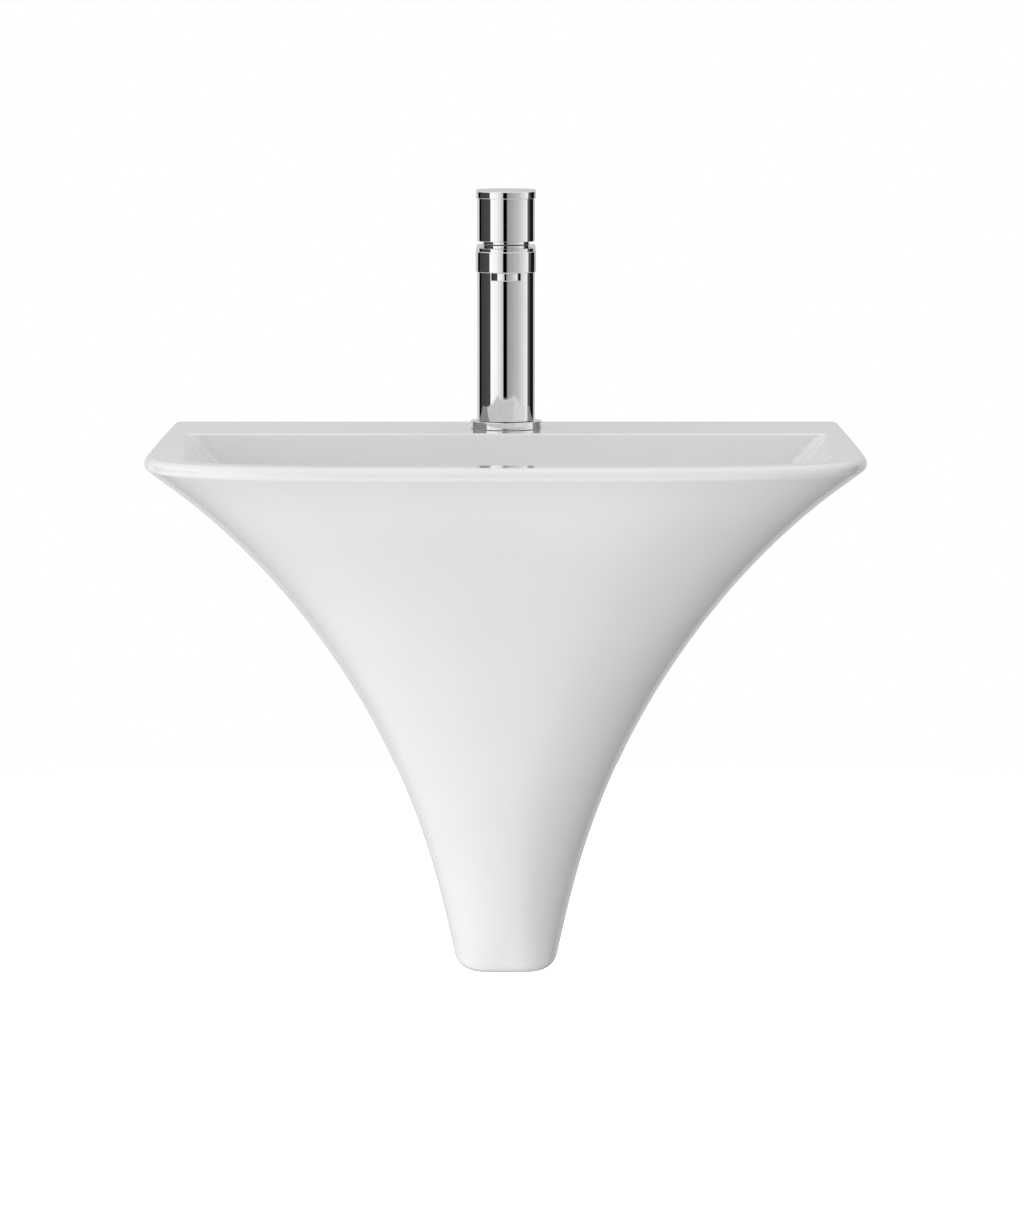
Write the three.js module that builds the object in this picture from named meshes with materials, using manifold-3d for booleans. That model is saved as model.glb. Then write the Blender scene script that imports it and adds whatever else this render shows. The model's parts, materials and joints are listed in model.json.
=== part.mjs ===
// A wall-hung washbasin whose ceramic body runs down into its own slim shroud, with a single-lever
// tap on the back deck, a push-button waste, a compact trap inside the shroud and its wall bolts.
// Millimetres. +Z is up, the wall is the plane y = 0 and the basin faces -Y.
// The origin lies on the wall face, halfway between the two wall bolts.
// "depth" is a distance out from the wall, so y = -depth. "drop" is a distance below the deck.

import * as THREE from "three";
import { mergeVertices } from "three/addons/utils/BufferGeometryUtils.js";
import Module from "manifold-3d";

const wasm = await Module();
wasm.setup();

// ---- Driving dimensions -------------------------------------------------------------------------

const DECK_Z = 70; // the flat top of the rim above the wall bolts
const GAP = 0.3; // left between pieces that touch
const TURN = Math.PI / 2;

const BASIN = {
  rollRadius: 6, // the rounded outer edge of the rim
  rollEnd: 48, // degrees below the horizontal where the roll runs into the flank
  sideShare: 0.63, // the flanks run out from the wall for this share of the depth
  backShare: 0.994, // width at the wall as a share of the full width
  rimSquareness: 4, // superellipse exponent of the front at the rim
  shroudSquareness: 2.2, // the least, towards the foot
  squarenessFall: 2.6,
  footSquareness: 3.6, // the foot itself grows squarer again
  squarenessRise: 16,
  wall: 12,
  deckThickness: 14,
  bandThickness: 14, // the upright band that bolts to the wall
  bandDrop: 116, // its lower edge
  footDrop: 443.2,
};

// The flank from the rim to the foot: half width, depth, drop.
const FLANK = [
  [277.2, 458.8, 10.4],
  [256.2, 441, 28.1],
  [230, 420, 52],
  [193.6, 383, 92],
  [149.8, 330, 152],
  [113.3, 279, 215],
  [85, 232, 278],
  [63.7, 190, 341],
  [48, 153, 405],
  [42.4, 138, 431.6],
];

// The bowl from its edge to its floor: drop, half width at the back wall, half width at the sides,
// depths of the back wall, of the sides' front end and of the front wall, squareness of the front,
// radius of the back corners.
const BOWL = [
  [0, 259, 248.3, 127, 313, 432, 4.5, 7],
  [24.5, 236, 225.8, 131, 301, 415, 4.3, 8],
  [58.5, 203.5, 195, 136, 283, 387, 4, 10],
  [98, 169, 161, 142, 262, 348, 3.7, 14],
  [119, 149, 142.5, 146.5, 246, 319, 3.4, 20],
  [131, 130, 124.5, 152.5, 234.5, 293, 3.2, 26],
  [137, 106, 102.5, 159, 223, 266, 3, 30],
  [139.8, 78, 76, 166, 210, 239.5, 2.8, 28],
  [141.3, 40, 40, 171, 194, 216, 2.4, 20],
];

// The tap's heights are above the deck.
const TAP = {
  depth: 71.5, // of the tap's axis
  holeRadius: 17.5,
  radius: 23.5, // column and handle
  flangeRadius: 29.3,
  flangeTop: 6.4,
  spoutBottom: 134,
  spoutTop: 150.5,
  spoutRadius: 24, // half the width of the spout, and its round ends
  spoutReach: 145.7, // from the axis to the tip
  neckRadius: 19.3,
  handleBottom: 153.2,
  handleTop: 189.7,
  leverTop: 195.5,
  leverRadius: 24.2,
  leverReach: 70.4,
  aeratorRadius: 12.4,
  aeratorBottom: 127,
};

const WASTE = {
  depth: 191,
  boreRadius: 23,
  tubeRadius: 20.9,
  flangeRadius: 32.5,
  seatRadius: 34.5, // a flat recess in the bowl's floor
  floorDrop: 142,
  tailDrop: 218, // the end of its threaded tail
};
const OVERFLOW = { drop: 50, boreRadius: 11, tiltDegrees: 8.4 };
const TRAP = {
  depth: 78, // of the bottle's axis
  pipeDrop: 252,
  radius: 30,
  pipeRadius: 16,
  shellAbove: 26, // heights of the bottle's ends above and below its pipes
  shellBelow: 52,
  dipBelow: 72,
  cupHeight: 38,
};
const WALL_BOLT = { x: 140, holeRadius: 9, radius: 5, intoWall: 60 };

// ---- Materials ----------------------------------------------------------------------------------

const finish = (color, roughness, metalness = 0) =>
  new THREE.MeshStandardMaterial({ color, roughness, metalness });

const MATERIAL = {
  ceramic: finish(0xf2f2f1, 0.08),
  chrome: finish(0xd8dadc, 0.05, 1),
  brass: finish(0xb8975a, 0.35, 1),
  steel: finish(0xa9acb0, 0.35, 1),
  rubber: finish(0x1c1c1c, 0.8),
  whitePlastic: finish(0xeeeeec, 0.45),
  greyPlastic: finish(0x8c9094, 0.5),
};

// ---- Solids -------------------------------------------------------------------------------------

// A closed geometry as a manifold solid with its faces pointing out.
function solid(geometry, matrix) {
  const bare = new THREE.BufferGeometry();
  bare.setAttribute("position", geometry.getAttribute("position").clone());
  if (geometry.index) bare.setIndex(geometry.index.clone());
  if (matrix) bare.applyMatrix4(matrix);
  const merged = mergeVertices(bare, 1e-4);
  const corners = [...merged.index.array];
  const kept = [];
  for (let i = 0; i < corners.length; i += 3) {
    const [a, b, c] = corners.slice(i, i + 3);
    if (a !== b && b !== c && c !== a) kept.push(a, b, c);
  }
  const build = (triVerts) =>
    new wasm.Manifold(
      new wasm.Mesh({
        numProp: 3,
        vertProperties: merged.attributes.position.array,
        triVerts: new Uint32Array(triVerts),
      }),
    );
  const made = build(kept);
  return made.volume() > 0 ? made : build(kept.reverse());
}

function geometryOf(manifold) {
  const mesh = manifold.getMesh();
  const geometry = new THREE.BufferGeometry();
  geometry.setAttribute("position", new THREE.BufferAttribute(mesh.vertProperties, 3));
  geometry.setIndex(new THREE.BufferAttribute(mesh.triVerts, 1));
  geometry.computeVertexNormals();
  return geometry;
}

const join = (first, ...others) => others.reduce((whole, other) => whole.add(other), first);
const cut = (first, ...others) => others.reduce((whole, other) => whole.subtract(other), first);
const move = (x, y, z) => new THREE.Matrix4().makeTranslation(x, y, z);

// A profile of [radius, height] points turned about the Z axis. It closes on itself.
function turned(profile, segments = 20) {
  const points = [...profile, profile[0]].map(([radius, height]) => new THREE.Vector2(radius, height));
  return solid(new THREE.LatheGeometry(points, segments).rotateX(TURN));
}

// A plain rod and a tube along Z.
const rod = (radius, low, high, segments) =>
  turned([[0, low], [radius, low], [radius, high], [0, high]], segments);
const ring = (outer, inner, low, high, segments) =>
  turned([[inner, low], [outer, low], [outer, high], [inner, high]], segments);

// The same shapes laid along Y, from one depth to another.
const ALONG_Y = new THREE.Matrix4().makeRotationX(TURN);
const laid = (manifold, x = 0, z = 0) =>
  solid(geometryOf(manifold), move(x, 0, z).multiply(ALONG_Y));

// A solid on the Z axis, moved out to a depth.
const rodAt = (x, depth, manifold) => solid(geometryOf(manifold), move(x, -depth, 0));

function box(width, depth, height, x, y, z) {
  return solid(new THREE.BoxGeometry(width, depth, height), move(x, y, z));
}

// A flat outline raised from one height to another.
function raised(shape, low, high, curveSegments = 12) {
  const options = { depth: high - low, bevelEnabled: false, curveSegments };
  return solid(new THREE.ExtrudeGeometry(shape, options), move(0, 0, low));
}

// A hexagon nut along Z.
function nut(acrossFlats, bore, low, high) {
  const corner = acrossFlats / Math.sqrt(3);
  return cut(rod(corner, low, high, 6), rod(bore, low - 1, high + 1, 16));
}

// A solid through level rings of points that all hold the same number of points. Each end is a fan
// round its own middle, so every ring has to be convex.
function loft(rings) {
  const count = rings[0].length;
  const middleOf = (list) =>
    list.reduce((sum, p) => sum.add(p), new THREE.Vector3()).divideScalar(count);
  const first = rings.length * count;
  const points = [...rings.flat(), middleOf(rings[0]), middleOf(rings.at(-1))];
  const index = [];
  for (let i = 0; i < count; i++) {
    const next = (i + 1) % count;
    for (let r = 0; r + 1 < rings.length; r++) {
      const [a, b] = [r * count + i, r * count + next];
      index.push(a, b, b + count, a, b + count, a + count);
    }
    const top = (rings.length - 1) * count;
    index.push(first, next, i, first + 1, top + i, top + next);
  }
  const geometry = new THREE.BufferGeometry().setFromPoints(points);
  geometry.setIndex(index);
  return solid(geometry);
}

// ---- The basin's outline ------------------------------------------------------------------------

// A point at a given drop on a smooth curve through the rows, whose drops are in the given column.
function rowAt(rows, dropColumn, drop) {
  const last = rows.length - 1;
  const start = Math.max(0, rows.findLastIndex((row, i) => i < last && row[dropColumn] <= drop));
  const [a, b] = [rows[start], rows[start + 1]];
  const before = rows[Math.max(0, start - 1)];
  const after = rows[Math.min(last, start + 2)];
  const span = b[dropColumn] - a[dropColumn];
  const s = Math.min(1, Math.max(0, (drop - a[dropColumn]) / span));
  const slope = (from, to, column) =>
    (to[column] - from[column]) / (to[dropColumn] - from[dropColumn]);
  return a.map((value, column) => {
    const slopeA = slope(before === a ? a : before, b, column) * span;
    const slopeB = slope(a, after === b ? b : after, column) * span;
    return (
      value * (2 * s ** 3 - 3 * s ** 2 + 1) +
      slopeA * (s ** 3 - 2 * s ** 2 + s) +
      b[column] * (3 * s ** 2 - 2 * s ** 3) +
      slopeB * (s ** 3 - s ** 2)
    );
  });
}

// The front of a section: a superellipse from the right side round to the left side.
function frontPoints(halfWidth, sideDepth, frontDepth, squareness, steps, z) {
  const points = [];
  for (let i = 0; i <= 2 * steps; i++) {
    const angle = (i / steps) * TURN;
    const across = Math.sign(Math.cos(angle)) * Math.abs(Math.cos(angle)) ** (2 / squareness);
    const out = Math.sin(angle) ** (2 / squareness);
    const y = -(sideDepth + (frontDepth - sideDepth) * out);
    points.push(new THREE.Vector3(halfWidth * across, y, z));
  }
  return points;
}

function squarenessAt(drop) {
  const { rimSquareness, shroudSquareness, footSquareness, footDrop } = BASIN;
  const nearRim = (1 - drop / footDrop) ** BASIN.squarenessFall;
  const nearFoot = (drop / footDrop) ** BASIN.squarenessRise;
  return (
    shroudSquareness +
    (rimSquareness - shroudSquareness) * nearRim +
    (footSquareness - shroudSquareness) * nearFoot
  );
}

// One level section of the ceramic body, from the wall plane at its right round to its left.
function bodySection(halfWidth, depth, drop, steps, backDepth = 0) {
  const z = DECK_Z - drop;
  const side = depth * BASIN.sideShare;
  const front = frontPoints(halfWidth, side, depth, squarenessAt(drop), steps, z);
  const back = (x) => new THREE.Vector3(BASIN.backShare * x, -backDepth, z);
  const middle = (x) => new THREE.Vector3(0.5 * (BASIN.backShare + 1) * x, -(backDepth + side) / 2, z);
  return [back(halfWidth), middle(halfWidth), ...front, middle(-halfWidth), back(-halfWidth)];
}

// ---- The ceramic body ---------------------------------------------------------------------------

// The rounding under the shroud, from the middle outwards. It carries on from the flank's lean.
function footSections(steps) {
  const [halfWidth, depth, drop] = FLANK.at(-1);
  const [halfAbove, , dropAbove] = FLANK.at(-2);
  const lean = Math.atan2(halfAbove - halfWidth, drop - dropAbove);
  const radius = (BASIN.footDrop - drop) / (1 - Math.sin(lean));
  return [1, 0.7, 0.42, 0.2, 0].map((share) => {
    const angle = lean + share * (TURN - lean);
    const inset = radius * (Math.cos(lean) - Math.cos(angle));
    const down = drop + radius * (Math.sin(angle) - Math.sin(lean));
    return bodySection(halfWidth - inset, depth - inset, down, steps);
  });
}

function outerSolid() {
  const { rollRadius, rollEnd } = BASIN;
  const steps = 11;
  const [rimHalf, rimDepth, rimDrop] = FLANK[0];
  const rollStart = Math.cos(THREE.MathUtils.degToRad(rollEnd));
  const rings = footSections(steps);
  for (const drop of [420, 388, 354, 320, 286, 252, 218, 185, 153, 124, 97, 72, 50, 30, rimDrop]) {
    const [halfWidth, depth] = rowAt(FLANK, 2, drop);
    rings.push(bodySection(halfWidth, depth, drop, steps));
  }
  for (const degrees of [-20, 10, 40, 68, 90]) {
    const angle = THREE.MathUtils.degToRad(degrees);
    const out = rollRadius * (Math.cos(angle) - rollStart);
    const drop = rollRadius * (1 - Math.sin(angle));
    rings.push(bodySection(rimHalf + out, rimDepth + out, drop, steps));
  }
  return loft(rings);
}

// The bowl, grown by a margin for the outside of its wall.
function bowlSolid(margin = 0) {
  const steps = 10;
  const rings = [];
  for (const drop of [-3, 0, 12, 24.5, 41, 58.5, 78, 98, 119, 131, 137, 139.8, 141.3]) {
    const row = rowAt(BOWL, 0, Math.max(0, drop));
    const [, backHalf, sideHalf, back, side, front, squareness, round] = row;
    const z = DECK_Z - drop - (drop > 0 ? margin : 0);
    const corner = [0, 1, 2, 3].map((i) => {
      const angle = (i / 3) * TURN;
      const x = backHalf + margin - round * (1 - Math.sin(angle));
      return new THREE.Vector3(x, -(back - margin + round * (1 - Math.cos(angle))), z);
    });
    const mirrored = corner.map((p) => new THREE.Vector3(-p.x, p.y, p.z)).reverse();
    const curve = frontPoints(sideHalf + margin, side, front + margin, squareness, steps, z);
    rings.push([...corner, ...curve, ...mirrored]);
  }
  return loft(rings.reverse());
}

// The hollow behind and under the bowl, open to the wall below the bolt band.
function hollowSolid() {
  const { wall, deckThickness, bandThickness, bandDrop, footDrop } = BASIN;
  const level = (halfWidth, near, far, drop) =>
    [[1, near], [1, far], [-1, far], [-1, near]].map(
      ([side, depth]) => new THREE.Vector3(side * halfWidth, -depth, DECK_Z - drop),
    );
  const halfAt = (drop) => rowAt(FLANK, 2, Math.max(drop, FLANK[0][2]))[0] - wall;
  const slab = (drops, near, far) => loft(drops.map((drop) => level(halfAt(drop), near, far, drop)));
  const chamberFront = BOWL[0][3] - deckThickness;
  const chamber = slab([156, 130, 100, 74, 50, 30, deckThickness], bandThickness, chamberFront);
  const floorDrop = footDrop - wall;
  const mouthDrops = [floorDrop, 395, 355, 315, 275, 235, 195, 155, bandDrop];
  const mouth = slab(mouthDrops, -5, bandThickness + 6);
  const lower = loft(
    [floorDrop, 395, 350, 305, 262, 218, 175, 132].map((drop) => {
      const [halfWidth, depth] = rowAt(FLANK, 2, drop);
      return bodySection(halfWidth - wall, depth - wall, drop, 8, bandThickness);
    }),
  );
  return join(chamber, cut(lower, bowlSolid(wall)), mouth);
}

// The overflow duct down the back of the bowl, and the boss round the waste hole. Its depths and
// drops are those of its faces, and its channel ends inside the waste's bore.
const DUCT = {
  halfWidth: 22,
  back: 106,
  front: 136,
  top: 34,
  bossTop: 148,
  bossEnd: 164,
  bossRadius: 43,
  skin: 7,
  channelDepth: 11,
  channelHeight: 9,
  channelFloor: 160,
  channelEnd: 181,
};

// A box on the middle plane between two depths and two drops.
function ductBox(halfWidth, back, front, top, bottom) {
  const middle = [0, -(back + front) / 2, DECK_Z - (top + bottom) / 2];
  return box(2 * halfWidth, front - back, bottom - top, ...middle);
}

function ductSolid() {
  const { halfWidth, back, front, top, bossTop, bossEnd, bossRadius } = DUCT;
  const boss = rodAt(0, WASTE.depth, rod(bossRadius, DECK_Z - bossEnd, DECK_Z - bossTop, 32));
  const down = ductBox(halfWidth, back, front, top, bossEnd);
  const along = ductBox(halfWidth, back, WASTE.depth, bossTop, bossEnd);
  return join(boss, down, along);
}

function ductChannel() {
  const { halfWidth, back, top, skin, channelDepth, channelHeight, channelFloor, channelEnd } = DUCT;
  const half = halfWidth - skin;
  const near = back + skin;
  const down = ductBox(half, near, near + channelDepth, top + skin, channelFloor);
  const along = ductBox(half, near, channelEnd, channelFloor - channelHeight, channelFloor);
  return join(down, along);
}

function basinBody() {
  const wasteBore = rodAt(0, WASTE.depth, rod(WASTE.boreRadius, DECK_Z - 170, DECK_Z - 135, 32));
  const seatHigh = DECK_Z - WASTE.floorDrop + 20;
  const wasteSeat = rodAt(
    0,
    WASTE.depth,
    rod(WASTE.seatRadius, DECK_Z - WASTE.floorDrop, seatHigh, 40),
  );
  const tapHole = rodAt(0, TAP.depth, rod(TAP.holeRadius, DECK_Z - 20, DECK_Z + 5, 28));
  const overflowHole = laid(rod(OVERFLOW.boreRadius, 120, 145, 24), 0, DECK_Z - OVERFLOW.drop);
  const boltHoles = [-1, 1].map((side) =>
    laid(rod(WALL_BOLT.holeRadius, -2, 20, 20), side * WALL_BOLT.x, 0),
  );
  const shell = cut(outerSolid(), hollowSolid());
  const withDuct = cut(join(shell, ductSolid()), ductChannel());
  return cut(withDuct, bowlSolid(), wasteSeat, wasteBore, tapHole, overflowHole, ...boltHoles);
}

// ---- The scene graph ----------------------------------------------------------------------------

function piece(parent, name, shape, material) {
  const mesh = new THREE.Mesh(geometryOf(shape), MATERIAL[material]);
  mesh.name = name;
  parent.add(mesh);
  return mesh;
}

function place(parent, x, y, z) {
  const group = new THREE.Group();
  group.position.set(x, y, z);
  parent.add(group);
  return group;
}

// ---- Overflow and waste -------------------------------------------------------------------------

const sink = new THREE.Group();
piece(sink, "basin_body", basinBody(), "ceramic");

// The chrome ring lies flat against the leaning back wall of the bowl. Its own axis is +Z here.
function addOverflowRing() {
  const group = place(sink, 0, -(backWallAt(OVERFLOW.drop) + GAP), DECK_Z - OVERFLOW.drop);
  group.rotation.x = TURN - THREE.MathUtils.degToRad(OVERFLOW.tiltDegrees);
  const { boreRadius } = OVERFLOW;
  const profile = [
    [boreRadius - 3, -9],
    [boreRadius - 1.8, -9],
    [boreRadius - 1.8, 0],
    [boreRadius + 4.5, 0],
    [boreRadius + 4.2, 1.2],
    [boreRadius + 2.6, 2.2],
    [boreRadius - 1.4, 2.4],
    [boreRadius - 3, 1],
  ];
  piece(group, "overflow_ring", turned(profile, 28), "chrome");
}

const backWallAt = (drop) => rowAt(BOWL, 0, drop)[3];

function addWaste() {
  const group = place(sink, 0, -WASTE.depth, DECK_Z);
  const { tubeRadius, flangeRadius, floorDrop, boreRadius } = WASTE;
  const floor = -floorDrop;
  const bossEnd = -DUCT.bossEnd;
  const bore = tubeRadius - 3.6;
  const tailEnd = -WASTE.tailDrop;
  const seat = floor + 1.8;
  const body = turned(
    [
      [bore, tailEnd],
      [tubeRadius, tailEnd],
      [tubeRadius, seat],
      [flangeRadius, seat],
      [flangeRadius, seat + 1],
      [flangeRadius - 2.5, seat + 2.2],
      [bore + 5, seat + 2],
      [bore, seat - 4],
    ],
    28,
  );
  const slots = [0, TURN].map((angle) => {
    const turn = new THREE.Matrix4().makeRotationZ(angle);
    const slot = new THREE.BoxGeometry(60, 16, 9).translate(0, 0, bossEnd + 9);
    return solid(slot, turn);
  });
  piece(group, "waste_body", cut(body, ...slots), "chrome");
  const upperSeal = ring(flangeRadius - 1.5, tubeRadius + 0.6, floor + GAP, seat - GAP);
  piece(group, "waste_upper_seal", upperSeal, "rubber");
  const lowerSeal = turned(
    [
      [tubeRadius + 0.6, bossEnd - 7],
      [boreRadius + 7, bossEnd - 7],
      [boreRadius + 9, bossEnd - 4],
      [boreRadius + 9, bossEnd - GAP],
      [tubeRadius + 0.6, bossEnd - GAP],
    ],
  );
  piece(group, "waste_lower_seal", lowerSeal, "rubber");
  piece(group, "waste_lock_nut", nut(56, tubeRadius + 0.6, bossEnd - 17, bossEnd - 7.3), "brass");
  addPlug(group, bore, seat, bossEnd);
}

// The push-button plug slides in a spider that hangs in the waste body.
function addPlug(group, bore, seat, bossEnd) {
  const hubTop = bossEnd - 1;
  const hubLow = bossEnd - 22;
  const hub = ring(7.5, 4.3, hubLow + 2, hubTop, 20);
  const hubFloor = rod(7.5, hubLow, hubLow + 2, 20);
  const arms = [0, 1, 2].map((i) => {
    const arm = new THREE.BoxGeometry(bore - 6 - GAP, 2.4, 5).translate((bore + 6) / 2, 0, hubLow + 2.5);
    return solid(arm, new THREE.Matrix4().makeRotationZ((i / 3) * 2 * Math.PI));
  });
  piece(group, "waste_spider", join(hub, hubFloor, ...arms), "whitePlastic");
  const capLow = seat + 2.6;
  const cap = turned(
    [
      [0, capLow],
      [22, capLow],
      [30.8, capLow + 0.4],
      [31.2, capLow + 1.4],
      [29, capLow + 3],
      [20, capLow + 4.6],
      [9, capLow + 5.4],
      [0, capLow + 5.6],
    ],
    28,
  );
  piece(group, "plug_cap", cap, "chrome");
  piece(group, "plug_spindle", rod(4, hubTop - 16, capLow - GAP, 16), "brass");
}

// ---- Trap ---------------------------------------------------------------------------------------

// A pipe along a path of points, open at both ends.
function pipe(path, outer, inner, steps) {
  const sweep = (radius) => {
    const shape = new THREE.Shape().absarc(0, 0, radius, 0, 2 * Math.PI);
    const options = { extrudePath: path, steps, bevelEnabled: false, curveSegments: 8 };
    return solid(new THREE.ExtrudeGeometry(shape, options));
  };
  return cut(sweep(outer), sweep(inner));
}

function elbowPath(bendRadius, top, level, farDepth) {
  const path = new THREE.CurvePath();
  const point = (depth, z) => new THREE.Vector3(0, -depth, z);
  const { depth } = WASTE;
  const bendStart = point(depth, level + bendRadius);
  const bendEnd = point(depth - bendRadius, level);
  path.add(new THREE.LineCurve3(point(depth, top), bendStart));
  path.add(new THREE.QuadraticBezierCurve3(bendStart, point(depth, level), bendEnd));
  path.add(new THREE.LineCurve3(bendEnd, point(farDepth, level)));
  return path;
}

function addTrap() {
  const level = DECK_Z - TRAP.pipeDrop;
  const tailEnd = DECK_Z - WASTE.tailDrop;
  const { radius, pipeRadius, depth } = TRAP;
  const waste = place(sink, 0, -WASTE.depth, 0);
  const seal = ring(20.6, 15, tailEnd - 2.3, tailEnd - GAP);
  piece(waste, "trap_inlet_seal", seal, "rubber");
  const inletNut = turned(
    [
      [pipeRadius + 3, tailEnd - 12],
      [26, tailEnd - 12],
      [27, tailEnd - 10],
      [27, tailEnd + 12],
      [21.5, tailEnd + 12],
      [21.5, tailEnd - 7],
      [pipeRadius + 3, tailEnd - 7],
    ],
    24,
  );
  piece(waste, "trap_inlet_nut", inletNut, "whitePlastic");
  const nearDepth = depth + radius + 8;
  const path = elbowPath(26, tailEnd - 2.6, level, nearDepth);
  const elbow = pipe(path, pipeRadius + 2, pipeRadius - 0.5, 9);
  const collar = rodAt(0, WASTE.depth, ring(20.6, pipeRadius, tailEnd - 6.6, tailEnd - 2.6));
  piece(sink, "trap_elbow", join(elbow, collar), "whitePlastic");
  addTrapBody(level, nearDepth);
  addTrapOutlet(level);
}

// The bottle: a shell, a dip tube fed from the front and an outlet stub at the back.
function addTrapBody(level, nearDepth) {
  const { radius, pipeRadius, depth } = TRAP;
  const shellLow = level - TRAP.shellBelow;
  const dipLow = level - TRAP.dipBelow;
  const top = level + TRAP.shellAbove;
  const shell = turned([[0, shellLow], [radius, shellLow], [radius, top - 8], [radius - 8, top], [0, top]]);
  const room = rod(radius - 2.8, shellLow - 1, top - 9);
  const dip = rod(16, dipLow, top - 6, 20);
  const dipBore = rod(13.5, dipLow - 1, level + 12, 20);
  const inlet = laid(rod(pipeRadius + 5, 8, radius + 13, 20), 0, level);
  const inletBore = laid(rod(pipeRadius + 2.3, radius - 4, radius + 14, 20), 0, level);
  const inletThroat = laid(rod(12.5, 0, radius + 14, 20), 0, level);
  const outlet = laid(rod(pipeRadius + 3.5, -(radius + 11), -20, 20), 0, level);
  const outletBore = laid(rod(pipeRadius + GAP, -(radius + 12), -(radius - 6), 20), 0, level);
  const outletThroat = laid(rod(12.5, -(radius + 12), -20, 20), 0, level);
  const walls = cut(join(shell, inlet, outlet), room);
  const front = laid(rod(pipeRadius, 10, radius - 1, 20), 0, level);
  const whole = join(walls, dip, front);
  const body = cut(whole, dipBore, inletBore, inletThroat, outletBore, outletThroat);
  const group = place(sink, 0, -depth, 0);
  piece(group, "trap_body", body, "whitePlastic");
  const cupTop = shellLow + 10;
  const cupLow = shellLow - TRAP.cupHeight;
  const cup = turned(
    [
      [0, cupLow],
      [radius - 8, cupLow],
      [radius + 2.8, cupLow + 10],
      [radius + 2.8, cupTop],
      [radius + GAP, cupTop],
      [radius + GAP, shellLow - 3],
      [radius - 3, shellLow - 3],
      [radius - 3, cupLow + 10],
      [radius - 9, cupLow + 2.6],
      [0, cupLow + 2.6],
    ],
  );
  piece(group, "trap_cup", cup, "whitePlastic");
  const seal = ring(radius - GAP, radius - 2.6, shellLow - 2.7, shellLow - GAP);
  piece(group, "trap_cup_seal", seal, "rubber");
  const inletNut = laid(ring(pipeRadius + 9, pipeRadius + 5.6, nearDepth - 7, nearDepth + 4), 0, level);
  piece(sink, "trap_body_nut", inletNut, "whitePlastic");
}

function addTrapOutlet(level) {
  const { radius, pipeRadius, depth } = TRAP;
  const nutFar = depth - radius - 1;
  const outletNut = laid(ring(pipeRadius + 7.5, pipeRadius + 4, nutFar - 10, nutFar), 0, level);
  piece(sink, "trap_outlet_nut", outletNut, "whitePlastic");
  const outletPipe = laid(ring(pipeRadius, pipeRadius - 2, -45, depth - radius + 5), 0, level);
  piece(sink, "trap_outlet_pipe", outletPipe, "whitePlastic");
  const rosette = laid(
    turned([
      [pipeRadius + GAP, GAP],
      [34, GAP],
      [33, 3],
      [22, 8],
      [pipeRadius + GAP, 9],
    ]),
    0,
    level,
  );
  piece(sink, "wall_rosette", rosette, "chrome");
}

// ---- Wall bolts ---------------------------------------------------------------------------------

function addWallBolt(side, label) {
  const { x, holeRadius, radius, intoWall } = WALL_BOLT;
  const band = BASIN.bandThickness;
  const at = (shape) => laid(shape, side * x, 0);
  const sleeve = turned([
    [radius + GAP, GAP],
    [holeRadius - GAP, GAP],
    [holeRadius - GAP, band + GAP],
    [15, band + GAP],
    [15, band + 2.5],
    [radius + GAP, band + 2.5],
  ]);
  piece(sink, "wall_bolt_" + label, at(rod(radius, -intoWall, band + 26, 16)), "steel");
  piece(sink, "bolt_sleeve_" + label, at(sleeve), "greyPlastic");
  piece(sink, "bolt_washer_" + label, at(ring(14, radius + GAP, band + 2.8, band + 4.8)), "steel");
  piece(sink, "bolt_nut_" + label, at(nut(17, radius + GAP, band + 5.1, band + 13)), "steel");
}

// ---- Tap ----------------------------------------------------------------------------------------

// A flat outline with a round back on the tap's axis and a round tip towards the user.
function stadium(radius, reach) {
  const tip = -(reach - radius);
  const shape = new THREE.Shape();
  shape.absarc(0, 0, radius, 0, Math.PI, false);
  shape.absarc(0, tip, radius, Math.PI, 2 * Math.PI, false);
  shape.closePath();
  return shape;
}

function addTapFoot(tap) {
  const { flangeRadius, flangeTop, holeRadius, radius } = TAP;
  const seal = ring(flangeRadius - 1.2, holeRadius + 1, GAP, 1.4);
  piece(tap, "tap_base_seal", seal, "rubber");
  const flange = turned(
    [
      [holeRadius + 0.5, 1.7],
      [flangeRadius - 0.8, 1.7],
      [flangeRadius - 0.8, GAP],
      [flangeRadius, GAP],
      [flangeRadius, flangeTop - 0.7],
      [flangeRadius - 0.7, flangeTop],
      [holeRadius + 0.5, flangeTop],
    ],
    36,
  );
  piece(tap, "tap_base_flange", flange, "chrome");
  const foot = flangeTop + GAP;
  const column = join(
    ring(radius, radius - 2, foot, TAP.spoutBottom - GAP, 36),
    rod(radius - 1, foot, foot + 8, 36),
  );
  const holes = [[8.5, 5, 5.8], [-8.5, 5, 5.8], [0, -9, 4.3]].map(([x, depth, hole]) =>
    rodAt(x, depth, rod(hole, foot - 1, foot + 9, 16)),
  );
  piece(tap, "tap_column", cut(column, ...holes), "chrome");
}

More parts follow.
